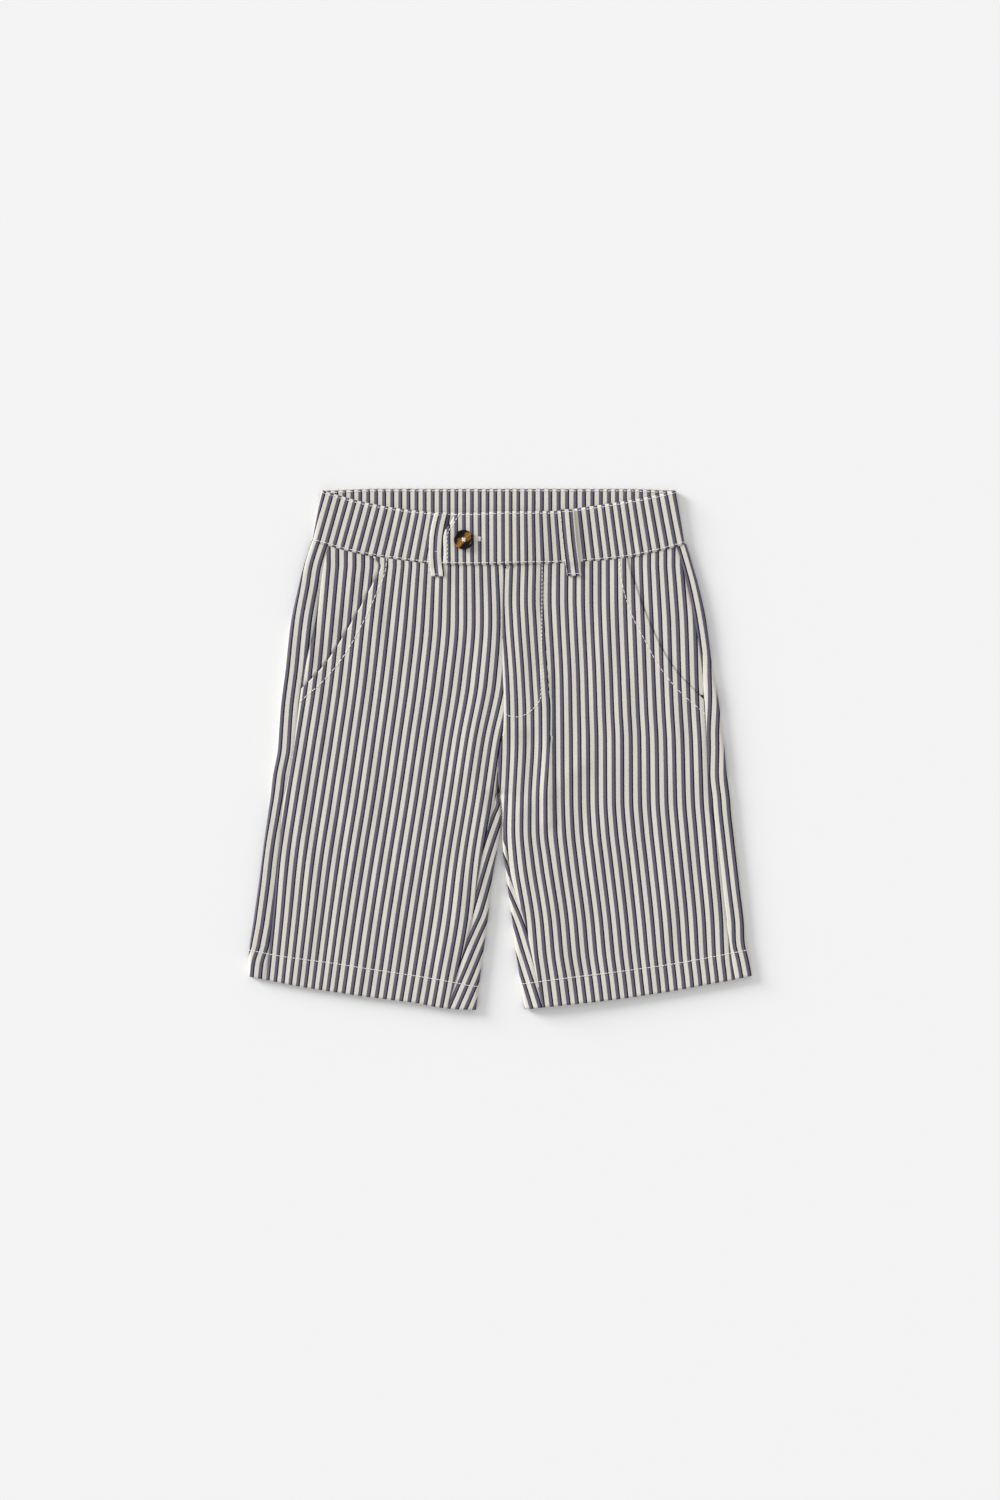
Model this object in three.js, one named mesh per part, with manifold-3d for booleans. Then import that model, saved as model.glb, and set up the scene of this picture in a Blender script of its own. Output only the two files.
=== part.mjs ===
// Child's bermuda shorts in striped cotton, lying flat on their back with the front up.
// Millimetres. +X is the wearer's left, +Y runs from the hems to the waist, +Z is up off the surface.
// The cloth walls are closed shells: each piece is cut, folded round the sides and parted at its seams.

import * as THREE from 'three';
import Module from 'manifold-3d';
import { mergeVertices } from 'three/addons/utils/BufferGeometryUtils.js';

// Cloth
const CLOTH = 1.2;
const BAND_CLOTH = 2.0;
const LOOP_CLOTH = 1.4;
const SEAM_GAP = 0.3;
const LAYER_GAP = 0.3;

// Heights of the middle of each layer above the surface
const BACK_HEIGHT = CLOTH / 2;
const FRONT_HEIGHT = 4.0;
const BAND_BACK_HEIGHT = BAND_CLOTH / 2;
const BAND_FRONT_HEIGHT = 4.4;
const TAB_HEIGHT = BAND_FRONT_HEIGHT + BAND_CLOTH + LAYER_GAP;

// Side folds: the cloth turns from the back to the front on this radius
const ROLL = (FRONT_HEIGHT - BACK_HEIGHT) / 2;
const BAND_ROLL = (BAND_FRONT_HEIGHT - BAND_BACK_HEIGHT) / 2;

// Hems are turned up inside, so the wall is thicker there
const HEM_EXTRA = 0.7;
const HEM_START = 0.945;
const HEM_STEP = 0.006;

// Fly: the wearer's left front lies over the right one, down to the foot of the fly
const FLY_UNDERLAP = 12;
const FLY_FOOT = 22;
const FLY_FADE = 12;
const FLY_LIFT_START = 2;
const FLY_LIFT = CLOTH + LAYER_GAP;
const FLY_LIFT_WIDTH = 15;
const FLY_LIFT_FADE = 15;

// Below the crotch the inner edge of each leg turns from not folded to fully folded
const CROTCH = -36;
const CROTCH_FLAT = CROTCH + 2;
const CROTCH_FOLDED = CROTCH - 6;

// Pocket facings: how far each runs under the front, and in from the side seam past the mouth's foot
const POCKET_FOOT = 42;
const FACING_UNDERLAP = 14;
const FACING_INSET = 2.5;
const FACING_INSET_START = -3;
const FACING_INSET_END = 3;
const FACING_RISE_START = 2;
const FACING_RISE_END = 12;
const FACING_RISE = 0.9;

const STRIPED_COTTON = { color: 0xb9b4ac, roughness: 0.9, metalness: 0 };
const STRIPED_BAND = { color: 0xaaa59e, roughness: 0.9, metalness: 0 };
const HORN_BUTTON = { color: 0x2a1a10, roughness: 0.25, metalness: 0 };

// Lines of the wearer's right leg: x of each one at height y.
// outer and inner are the folded edges, side is the side seam, pocket the slanted pocket mouth,
// centre the edge of the front panel at the fly, the crotch seam and then the inseam.
const RIGHT_LINES = [
  { y: 165, outer: -144.0, side: -130.5, pocket: -91.0, centre: 1.8, inner: -0.7 },
  { y: 145, outer: -150.6, side: -136.0, pocket: -93.2, centre: 1.7, inner: -0.7 },
  { y: 125, outer: -155.8, side: -139.2, pocket: -99.8, centre: 1.4, inner: -0.7 },
  { y: 100, outer: -161.3, side: -142.6, pocket: -113.5, centre: 1.0, inner: -0.7 },
  { y: 65, outer: -166.0, side: -150.5, pocket: -136.0, centre: 1.2, inner: -0.7 },
  { y: 35, outer: -169.8, side: -155.2, pocket: -166.0, centre: 2.2, inner: -0.7 },
  { y: 16, outer: -171.2, side: -157.5, pocket: -186.0, centre: 1.7, inner: -0.7 },
  { y: 0, outer: -172.2, side: -159.5, pocket: -204.0, centre: -1.1, inner: -0.7 },
  { y: -20, outer: -175.6, side: -163.1, pocket: -224.0, centre: -3.1, inner: -0.7 },
  { y: -38, outer: -177.5, side: -167.0, pocket: -240.0, centre: -4.7, inner: -0.7 },
  { y: -70, outer: -182.1, side: -170.0, pocket: -270.0, centre: -12.3, inner: -1.3 },
  { y: -100, outer: -185.9, side: -172.8, pocket: -300.0, centre: -17.9, inner: -5.6 },
  { y: -130, outer: -190.2, side: -175.5, pocket: -330.0, centre: -22.3, inner: -9.8 },
  { y: -160, outer: -194.0, side: -179.0, pocket: -360.0, centre: -30.1, inner: -13.8 },
  { y: -200, outer: -194.6, side: -184.4, pocket: -400.0, centre: -41.5, inner: -18.9 },
];

// The same lines of the wearer's left leg.
const LEFT_LINES = [
  { y: 165, outer: 140.8, side: 132.5, pocket: 95.5, centre: 2.3, inner: 0.5 },
  { y: 145, outer: 147.0, side: 139.1, pocket: 97.8, centre: 2.2, inner: 0.5 },
  { y: 125, outer: 152.7, side: 143.9, pocket: 104.2, centre: 1.9, inner: 0.5 },
  { y: 100, outer: 158.2, side: 149.4, pocket: 113.5, centre: 1.5, inner: 0.5 },
  { y: 65, outer: 162.9, side: 155.0, pocket: 131.7, centre: 1.6, inner: 0.5 },
  { y: 35, outer: 168.2, side: 157.3, pocket: 160.0, centre: 2.7, inner: 0.5 },
  { y: 16, outer: 170.4, side: 158.2, pocket: 179.0, centre: 2.2, inner: 0.5 },
  { y: 0, outer: 172.5, side: 158.9, pocket: 195.0, centre: -0.6, inner: 0.5 },
  { y: -20, outer: 174.4, side: 160.3, pocket: 215.0, centre: -2.2, inner: 0.5 },
  { y: -38, outer: 177.3, side: 162.0, pocket: 233.0, centre: 0.7, inner: 0.5 },
  { y: -70, outer: 180.3, side: 167.0, pocket: 265.0, centre: 3.6, inner: 0.3 },
  { y: -100, outer: 183.7, side: 170.5, pocket: 295.0, centre: 8.9, inner: 3.7 },
  { y: -130, outer: 187.0, side: 173.7, pocket: 325.0, centre: 18.1, inner: 8.1 },
  { y: -160, outer: 192.2, side: 177.8, pocket: 355.0, centre: 24.6, inner: 12.3 },
  { y: -200, outer: 197.4, side: 182.9, pocket: 395.0, centre: 32.6, inner: 18.5 },
];

// Front of the waistband: x along its top edge, and y of its top edge and of its seam to the fronts.
const BAND_FRONT = [
  { x: -138.2, top: 199.0, seam: 160.5 },
  { x: -102, top: 189.2, seam: 150.6 },
  { x: -68, top: 183.7, seam: 145.3 },
  { x: -46, top: 182.0, seam: 142.8 },
  { x: -20, top: 181.7, seam: 142.4 },
  { x: 0, top: 182.8, seam: 142.8 },
  { x: 40, top: 183.0, seam: 143.6 },
  { x: 66, top: 186.1, seam: 145.2 },
  { x: 92, top: 190.2, seam: 147.7 },
  { x: 114, top: 194.1, seam: 152.4 },
  { x: 135.2, top: 199.0, seam: 158.2 },
];
const BAND_BACK_TOP = 199.8;
const BAND_BACK_SEAM = 165.2;

// Both back edges of the band are level as far as from, and past to as high as the front's corner at x
const BACK_CORNER = { x: 150, from: 95, to: 140 };

// The band widens downwards: at HALF_WAIST its seam lies farther out than its top by this share
const BAND_SLANT = 0.05;
const HALF_WAIST = 138;
const BAND_UNDERLAP_END = 14;
const TAB_FULL = 16;
const TAB_RAMP = 30;
const TAB_END_START = -16;

// Free end of the tab: x of its edge at a share of the way down.
const TAB_END = [
  { down: 0, x: -33.5 },
  { down: 0.25, x: -40.2 },
  { down: 0.5, x: -44.6 },
  { down: 0.75, x: -43.8 },
  { down: 1, x: -44.6 },
];

// Hem edge of both legs.
const HEM = [
  { x: -194.4, y: -174.4 },
  { x: -155, y: -182.2 },
  { x: -102, y: -191.0 },
  { x: -49, y: -198.2 },
  { x: -19, y: -199.8 },
  { x: 17, y: -199.7 },
  { x: 32, y: -198.2 },
  { x: 84, y: -192.1 },
  { x: 132, y: -185.5 },
  { x: 194, y: -172.9 },
];

// Largest folds of the front: each runs from one point to another, and stands up or dips by rise.
const FOLDS = [
  { name: 'tuck beside the fly', x0: 34, y0: 56, x1: 37, y1: -55, width: 5, rise: 1.3 },
  { name: 'dip outside the tuck', x0: 43, y0: 60, x1: 44, y1: -60, width: 4, rise: -0.4 },
  { name: 'sweep from the fly', x0: -8, y0: 75, x1: -24, y1: -15, width: 9, rise: 0.8 },
  { name: 'under the fly', x0: 14, y0: 12, x1: 12, y1: -28, width: 7, rise: 0.8 },
  { name: 'right crotch line', x0: -14, y0: -40, x1: -62, y1: -12, width: 8, rise: 0.6 },
  { name: 'left crotch line', x0: 16, y0: -46, x1: 60, y1: -14, width: 8, rise: 0.6 },
  { name: 'wave over the left leg', x0: 72, y0: -2, x1: 140, y1: -26, width: 12, rise: 0.7 },
  { name: 'right thigh', x0: -140, y0: 2, x1: -118, y1: -30, width: 10, rise: 0.6 },
  { name: 'right inner leg', x0: -28, y0: -92, x1: -48, y1: -165, width: 9, rise: 0.5 },
  { name: 'left inner leg', x0: 26, y0: -95, x1: 46, y1: -168, width: 9, rise: 0.5 },
];
const FOLD_FADE = 12;

// Belt loops on the front: centre line, x at height y.
const BELT_LOOPS = [
  {
    name: 'belt_loop_right',
    width: 9.6,
    line: [
      { y: 181.6, x: -45.9 },
      { y: 171.3, x: -49.0 },
      { y: 161.3, x: -50.3 },
      { y: 149.8, x: -50.2 },
      { y: 133.6, x: -48.6 },
    ],
  },
  {
    name: 'belt_loop_left',
    width: 10.3,
    line: [
      { y: 184.4, x: 51.2 },
      { y: 161.3, x: 53.2 },
      { y: 146.0, x: 55.1 },
      { y: 134.0, x: 56.7 },
    ],
  },
];
const LOOP_BOW = 0.8;
const LOOP_BOW_END = 0.85;
const LOOP_STATIONS = [-1, -0.35, 0.35, 1];

// Past the waist seam a loop steps down from the band onto the front
const LOOP_STEP_DOWN = 1.2;
const LOOP_STEP_ABOVE = 1;
const LOOP_STEP_BELOW = 5;

const BUTTON = {
  x: -28.4,
  y: 161.3,
  radius: 7.6,
  thick: 2.8,
  rim: 1.5,
  foot: 1.2,
  round: 0.3,
  shoulder: 0.5,
  slope: 1.1,
  dish: 0.8,
  hole: 0.85,
  pitch: 1.75,
};

// Grid of each shell: shares of the way down its columns, closer at the crotch and at the hem.
const ROWS = [
  ...steps(0, 0.5, 11),
  ...steps(0.5, 0.59, 5),
  ...steps(0.59, HEM_START, 7),
  ...steps(HEM_START, HEM_START + HEM_STEP, 1),
  ...steps(HEM_START + HEM_STEP, 1, 1),
  1,
];
const FRONT_STATIONS = [0, 8, 16, 23, 29, 33, 36, 39, 43, 50];
const FRONT_OUTER_COLUMNS = 9;
const ARC_COLUMNS = 4;
const FLAP_COLUMNS = 3;
const FLOOR_COLUMNS = 9;
const WRAP_LEAD = 4;

// Limits that keep a grid sound: the share of a wrap in its bend, a wrap's least reach, a normal's lean
const BEND_LIMIT = 0.8;
const LEAST_REACH = 0.05;
const STEEPEST = 0.98;

// First guess of a grid point's height, before it is moved to its share of the way down
const GUESS = { top: 150, foot: -190, rounds: 16, rate: 0.6 };

function steps(from, to, count) {
  return Array.from({ length: count }, (_, step) => from + ((to - from) * step) / count);
}

function mix(from, to, share) {
  return from + (to - from) * share;
}

function smooth(from, to, at) {
  const share = Math.min(1, Math.max(0, (at - from) / (to - from)));
  return share * share * (3 - 2 * share);
}

// A smooth curve through one column of a table, with no overshoot, held level past its ends.
function curve(rows, column, along = 'y') {
  const points = rows.map((row) => [row[along], row[column]]).sort((a, b) => a[0] - b[0]);
  const last = points.length - 1;
  const slopes = points.slice(1).map((point, i) => (point[1] - points[i][1]) / (point[0] - points[i][0]));
  const tangents = points.map((_, i) => {
    if (i === 0) return slopes[0];
    if (i === last) return slopes[last - 1];
    const before = slopes[i - 1];
    const after = slopes[i];
    return before * after > 0 ? (2 * before * after) / (before + after) : 0;
  });
  return (at) => {
    if (at <= points[0][0]) return points[0][1];
    if (at >= points[last][0]) return points[last][1];
    let i = 0;
    while (at > points[i + 1][0]) i += 1;
    const span = points[i + 1][0] - points[i][0];
    const share = (at - points[i][0]) / span;
    const square = share * share;
    const cube = square * share;
    return (
      points[i][1] * (2 * cube - 3 * square + 1) +
      tangents[i] * span * (cube - 2 * square + share) +
      points[i + 1][1] * (3 * square - 2 * cube) +
      tangents[i + 1] * span * (cube - square)
    );
  };
}

function makeLeg(sign, rows) {
  const columns = ['outer', 'side', 'pocket', 'centre', 'inner'];
  const lines = Object.fromEntries(columns.map((column) => [column, curve(rows, column)]));
  return { sign, ...lines };
}

const rightLeg = makeLeg(-1, RIGHT_LINES);
const leftLeg = makeLeg(1, LEFT_LINES);

const slant = (x) => x * (1 + (BAND_SLANT * Math.abs(x)) / HALF_WAIST);
const frontTop = curve(BAND_FRONT, 'top', 'x');
const frontSeamOnTop = curve(BAND_FRONT, 'seam', 'x');
const frontSeam = curve(BAND_FRONT.map((row) => ({ x: slant(row.x), y: row.seam })), 'y', 'x');
const hem = curve(HEM, 'y', 'x');

// The back of the waistband is straight, and meets the front's corners at the sides.
function backEdge(x, level, frontEdge) {
  const corner = frontEdge(Math.sign(x) * BACK_CORNER.x);
  return mix(level, corner, smooth(BACK_CORNER.from, BACK_CORNER.to, Math.abs(x)));
}

const backTop = (x) => backEdge(x, BAND_BACK_TOP, frontTop);
const backSeam = (x) => backEdge(x, BAND_BACK_SEAM, frontSeam);

function foldHeight(x, y) {
  return FOLDS.reduce((sum, fold) => {
    const runX = fold.x1 - fold.x0;
    const runY = fold.y1 - fold.y0;
    const along = ((x - fold.x0) * runX + (y - fold.y0) * runY) / (runX * runX + runY * runY);
    const share = Math.min(1, Math.max(0, along));
    const away = Math.hypot(x - fold.x0 - share * runX, y - fold.y0 - share * runY) / fold.width;
    return sum + fold.rise * Math.exp(-away * away);
  }, 0);
}

// How far the inner edge of a leg is folded round: not at all above the crotch.
const innerRoll = (y) => smooth(CROTCH_FLAT, CROTCH_FOLDED, y);

function edgeOf(leg, edge, y) {
  const out = edge === 'outer' ? leg.sign : -leg.sign;
  const rolled = edge === 'outer' ? 1 : innerRoll(y);
  return { out, rolled, fold: leg[edge](y) - (out * CLOTH) / 2 };
}

function flyLift(leg, x, y) {
  if (leg.sign < 0) return 0;
  const inward = x - leg.centre(y);
  const across = 1 - smooth(FLY_LIFT_WIDTH, FLY_LIFT_WIDTH + FLY_LIFT_FADE, inward);
  return FLY_LIFT * across * smooth(FLY_LIFT_START, FLY_FOOT - FLY_LIFT_START, y);
}

function relief(leg, x, y) {
  const fromOuter = Math.abs(leg.outer(y) - x);
  const fromInner = mix(FOLD_FADE, Math.abs(x - leg.inner(y)), innerRoll(y));
  const fade = smooth(ROLL, FOLD_FADE, Math.min(fromOuter, fromInner));
  return foldHeight(x, y) * fade + flyLift(leg, x, y);
}

// Middle of the front layer above the surface, and the way it faces.
function surface(leg, x, y) {
  const probe = 0.5;
  const slope = (relief(leg, x + probe, y) - relief(leg, x - probe, y)) / (2 * probe);
  let z = FRONT_HEIGHT + relief(leg, x, y);
  let lean = -slope;
  for (const edge of ['outer', 'inner']) {
    const { out, rolled, fold } = edgeOf(leg, edge, y);
    const inside = Math.max(0, (fold - x) * out);
    if (inside < ROLL) {
      const short = ROLL - inside;
      z -= (ROLL - Math.sqrt(ROLL * ROLL - short * short)) * rolled;
      lean += ((out * short) / ROLL) * rolled;
    }
  }
  const tilt = Math.min(STEEPEST, Math.max(-STEEPEST, lean));
  return { z, nx: tilt, nz: Math.sqrt(1 - tilt * tilt) };
}

// A back panel's wrap: along the surface, round the folded edge and over to the seam on top.
function wrapPoint(leg, y, edge, column) {
  const { out, rolled, fold } = edgeOf(leg, edge, y);
  const seam = (edge === 'outer' ? leg.side(y) : leg.centre(y)) + (out * SEAM_GAP) / 2;
  const reach = Math.max(LEAST_REACH, (fold - seam) * out);
  const fullTurn = reach < ROLL ? Math.acos(1 - reach / ROLL) : Math.PI / 2;
  const turn = (fullTurn + Math.PI / 2) * rolled;
  const flap = Math.max(0, reach - ROLL) * rolled;
  const limit = mix((leg.sign * SEAM_GAP) / 2, leg[edge](y), rolled);
  const middle = limit - out * (ROLL + CLOTH / 2) * Math.sin(Math.min(turn, Math.PI / 2));
  const arc = ROLL * turn;
  const total = WRAP_LEAD + arc + flap;
  const bend = Math.min(WRAP_LEAD + arc, total * BEND_LIMIT);
  const length =
    column <= ARC_COLUMNS
      ? (bend * column) / ARC_COLUMNS
      : mix(bend, total, (column - ARC_COLUMNS) / FLAP_COLUMNS);
  if (length <= WRAP_LEAD) {
    return { x: middle - out * (WRAP_LEAD - length), z: BACK_HEIGHT, nx: 0, nz: -1 };
  }
  if (length <= WRAP_LEAD + arc) {
    const angle = (length - WRAP_LEAD) / ROLL - Math.PI / 2;
    return {
      x: middle + out * ROLL * Math.cos(angle),
      z: BACK_HEIGHT + ROLL + ROLL * Math.sin(angle),
      nx: out * Math.cos(angle),
      nz: Math.sin(angle),
    };
  }
  const x = middle - out * (length - WRAP_LEAD - arc);
  return { x, ...surface(leg, x, y) };
}

// Height where a column has gone the share down of its way from the waist seam to the hem.
function heightOf(down, xAt, topAt) {
  let y = mix(GUESS.top, GUESS.foot, down);
  for (let round = 0; round < GUESS.rounds; round += 1) {
    const x = xAt(y);
    y = mix(y, mix(topAt(x, y) - SEAM_GAP, hem(x), down), GUESS.rate);
  }
  return y;
}

const hemExtra = (down) => (down > HEM_START + HEM_STEP / 2 ? HEM_EXTRA : 0);

function frontPanel(leg) {
  const columns = FRONT_STATIONS.length + FRONT_OUTER_COLUMNS;
  const innerEdge = (y) => {
    const underlap = leg.sign < 0 ? FLY_UNDERLAP * smooth(FLY_FOOT, FLY_FOOT + FLY_FADE, y) : 0;
    return leg.centre(y) + (leg.sign * SEAM_GAP) / 2 + underlap;
  };
  const outerEdge = (y) => {
    const reach = Math.min(Math.abs(leg.pocket(y)), Math.abs(leg.side(y)));
    return leg.sign * (reach - SEAM_GAP / 2);
  };
  const place = (column, y) => {
    const inner = innerEdge(y);
    const outer = outerEdge(y);
    const last = FRONT_STATIONS.length - 1;
    const firstOuter = inner + leg.sign * FRONT_STATIONS[last];
    if (column <= last) return inner + leg.sign * FRONT_STATIONS[column];
    return mix(firstOuter, outer, (column - last) / FRONT_OUTER_COLUMNS);
  };
  return ROWS.map((down) =>
    Array.from({ length: columns }, (_, column) => {
      const y = heightOf(down, (at) => place(column, at), frontSeam);
      const x = place(column, y);
      return { x, y, ...surface(leg, x, y), extra: hemExtra(down) };
    }),
  );
}

function backPanel(leg) {
  const wrapColumns = ARC_COLUMNS + FLAP_COLUMNS;
  const place = (column, y) => {
    if (column <= wrapColumns) return wrapPoint(leg, y, 'inner', wrapColumns - column);
    if (column >= wrapColumns + FLOOR_COLUMNS) {
      return wrapPoint(leg, y, 'outer', column - wrapColumns - FLOOR_COLUMNS);
    }
    const from = wrapPoint(leg, y, 'inner', 0);
    const to = wrapPoint(leg, y, 'outer', 0);
    return { ...from, x: mix(from.x, to.x, (column - wrapColumns) / FLOOR_COLUMNS) };
  };
  // How far a column has come round to the front, where the waist seam lies lower.
  const turned = (column, y) => {
    const inner = Math.min(1, (wrapColumns - column) / ARC_COLUMNS) * innerRoll(y);
    const outer = Math.min(1, (column - wrapColumns - FLOOR_COLUMNS) / ARC_COLUMNS);
    return Math.max(0, inner, outer);
  };
  const columns = 2 * wrapColumns + FLOOR_COLUMNS + 1;
  return ROWS.map((down) =>
    Array.from({ length: columns }, (_, column) => {
      const topAt = (x, y) => mix(backSeam(x), frontSeam(x), turned(column, y));
      const y = heightOf(down, (at) => place(column, at).x, topAt);
      return { y, ...place(column, y), extra: hemExtra(down) };
    }),
  );
}

// The facing shows between the pocket mouth and the side seam, and runs on under the front.
function pocketFacing(leg) {
  const columns = 8;
  const rows = 12;
  const drop = CLOTH + LAYER_GAP;
  const outerEdge = (y) => {
    const mouth = Math.abs(leg.pocket(y));
    const side = Math.abs(leg.side(y)) - SEAM_GAP / 2;
    const inset = FACING_INSET * smooth(FACING_INSET_START, FACING_INSET_END, mouth - side);
    return leg.sign * (side - inset);
  };
  const innerEdge = (y) => {
    const mouth = Math.min(Math.abs(leg.pocket(y)), Math.abs(leg.side(y)));
    return leg.sign * (mouth - FACING_UNDERLAP);
  };
  return Array.from({ length: rows }, (_, row) => {
    const down = row / (rows - 1);
    return Array.from({ length: columns }, (__, column) => {
      const share = column / (columns - 1);
      let y = mix(GUESS.top, POCKET_FOOT, down);
      let x = 0;
      for (let round = 0; round < GUESS.rounds; round += 1) {
        x = mix(innerEdge(y), outerEdge(y), share);
        y = mix(frontSeam(x) - SEAM_GAP, POCKET_FOOT, down);
      }
      const shown = Math.abs(x) - Math.abs(leg.pocket(y));
      const place = surface(leg, x, y);
      const risen = FACING_RISE * smooth(FACING_RISE_START, FACING_RISE_END, shown);
      return { x, y, ...place, z: place.z - drop * (1 - risen), extra: 0 };
    });
  });
}

// One turn of the waistband, from its end under the tab, round both sides, to the tab.
function waistbandPath() {
  const front = (x, height = BAND_FRONT_HEIGHT, nx = 0) => ({
    x, z: height, nx, nz: Math.sqrt(1 - nx * nx), top: frontTop(x), seam: frontSeamOnTop(x),
  });
  const back = (x) => ({ x, z: BAND_BACK_HEIGHT, nx: 0, nz: -1, top: backTop(x), seam: backSeam(x) });
  const side = (sign, corner, backwards) => {
    const count = 6;
    const middle = corner - sign * (BAND_ROLL + BAND_CLOTH / 2);
    return steps(0, 1, count).slice(1).map((share) => {
      const angle = (backwards ? -1 : 1) * Math.PI * (0.5 - share);
      return {
        x: middle + sign * BAND_ROLL * Math.cos(angle),
        z: BAND_BACK_HEIGHT + BAND_ROLL + BAND_ROLL * Math.sin(angle),
        nx: sign * Math.cos(angle),
        nz: Math.sin(angle),
        top: frontTop(corner),
        seam: frontSeamOnTop(corner),
      };
    });
  };
  const rightCorner = BAND_FRONT[0].x;
  const leftCorner = BAND_FRONT[BAND_FRONT.length - 1].x;
  const inset = BAND_ROLL + BAND_CLOTH / 2;
  const ramp = (x) => {
    const climb = TAB_HEIGHT - BAND_FRONT_HEIGHT;
    const share = 1 - smooth(TAB_FULL, TAB_RAMP, x);
    const rate = (smooth(TAB_FULL, TAB_RAMP, x + 0.5) - smooth(TAB_FULL, TAB_RAMP, x - 0.5)) * climb;
    return front(x, BAND_FRONT_HEIGHT + climb * share, rate / Math.hypot(1, rate));
  };
  return [
    ...steps(BAND_UNDERLAP_END, rightCorner + inset, 13).map((x) => front(x)),
    front(rightCorner + inset),
    ...side(-1, rightCorner, false),
    ...steps(rightCorner + inset, leftCorner - inset, 16).map(back),
    back(leftCorner - inset),
    ...side(1, leftCorner, true),
    ...steps(leftCorner - inset, TAB_RAMP, 10).map((x) => front(x)),
    ...steps(TAB_RAMP, TAB_FULL, 5).map(ramp),
    ...steps(TAB_FULL, TAB_END_START, 3).map((x) => front(x, TAB_HEIGHT)),
  ];
}

function waistband() {
  const path = waistbandPath();
  const tabEnd = curve(TAB_END, 'x', 'down');
  const tabStart = { ...path[path.length - 1], x: TAB_END_START };
  const downs = [0, 0.25, 0.5, 0.75, 1];
  const tabColumns = 4;
  return downs.map((down) => {
    const along = path.map((place) => ({
      ...place,
      x: mix(place.x, slant(place.x), down),
      y: mix(place.top, place.seam, down),
      extra: 0,
    }));
    const tab = steps(0, 1, tabColumns).concat(1).map((share) => {
      const x = mix(tabStart.x, tabEnd(down), share);
      return { ...tabStart, x, y: mix(frontTop(x), frontSeamOnTop(x), down), extra: 0 };
    });
    return [...along, ...tab];
  });
}

// A belt loop is sewn at the top of the band, bows out over it and ends on the front below its seam.
function beltLoop(loop) {
  const leg = loop.line[0].x < 0 ? rightLeg : leftLeg;
  const xAt = curve(loop.line, 'x');
  const top = loop.line[0].y;
  const foot = loop.line[loop.line.length - 1].y;
  const rows = 13;
  return Array.from({ length: rows }, (_, row) => {
    const down = row / (rows - 1);
    const y = mix(top, foot, down);
    const overBand = BAND_FRONT_HEIGHT + BAND_CLOTH / 2;
    return LOOP_STATIONS.map((across) => {
      const x = xAt(y) + (across * loop.width) / 2;
      const overFront = surface(leg, x, y).z + CLOTH / 2;
      const onFront = smooth(LOOP_STEP_ABOVE, -LOOP_STEP_BELOW, y - frontSeam(x));
      const under = mix(overBand, Math.max(overFront, overBand - LOOP_STEP_DOWN), onFront);
      const bow = LOOP_BOW * Math.sin(Math.PI * Math.min(1, down / LOOP_BOW_END)) * (1 - onFront);
      const z = under + LAYER_GAP + LOOP_CLOTH / 2 + Math.max(0, bow);
      return { x, y, z, nx: 0, nz: 1, extra: 0 };
    });
  });
}

// A shell with a wall of the given thickness round a grid of places. extra thickens it inwards.
function shell(grid, thickness) {
  const rows = grid.length;
  const columns = grid[0].length;
  const positions = [];
  for (const side of [1, -1]) {
    for (const row of grid) {
      for (const place of row) {
        const offset = side > 0 ? thickness / 2 : -(thickness / 2 + place.extra);
        positions.push(place.x + place.nx * offset, place.y, place.z + place.nz * offset);
      }
    }
  }
  const at = (side, row, column) => side * rows * columns + row * columns + column;
  const faces = [];
  const quad = (a, b, c, d) => faces.push(a, b, c, a, c, d);
  for (let row = 0; row < rows - 1; row += 1) {
    for (let column = 0; column < columns - 1; column += 1) {
      quad(at(0, row, column), at(0, row + 1, column), at(0, row + 1, column + 1), at(0, row, column + 1));
      quad(at(1, row, column), at(1, row, column + 1), at(1, row + 1, column + 1), at(1, row + 1, column));
    }
  }
  const rim = [];
  for (let column = 0; column < columns - 1; column += 1) rim.push([0, column]);
  for (let row = 0; row < rows - 1; row += 1) rim.push([row, columns - 1]);
  for (let column = columns - 1; column > 0; column -= 1) rim.push([rows - 1, column]);
  for (let row = rows - 1; row > 0; row -= 1) rim.push([row, 0]);
  rim.forEach(([row, column], i) => {
    const [nextRow, nextColumn] = rim[(i + 1) % rim.length];
    quad(at(0, row, column), at(0, nextRow, nextColumn), at(1, nextRow, nextColumn), at(1, row, column));
  });
  if (volume(positions, faces) < 0) faces.reverse();
  const geometry = new THREE.BufferGeometry();
  geometry.setAttribute('position', new THREE.Float32BufferAttribute(positions, 3));
  geometry.setIndex(faces);
  return geometry;
}

function volume(positions, faces) {
  const point = (i) => new THREE.Vector3().fromArray(positions, 3 * i);
  let sum = 0;
  for (let i = 0; i < faces.length; i += 3) {
    sum += point(faces[i]).dot(point(faces[i + 1]).cross(point(faces[i + 2])));
  }
  return sum / 6;
}

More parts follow.
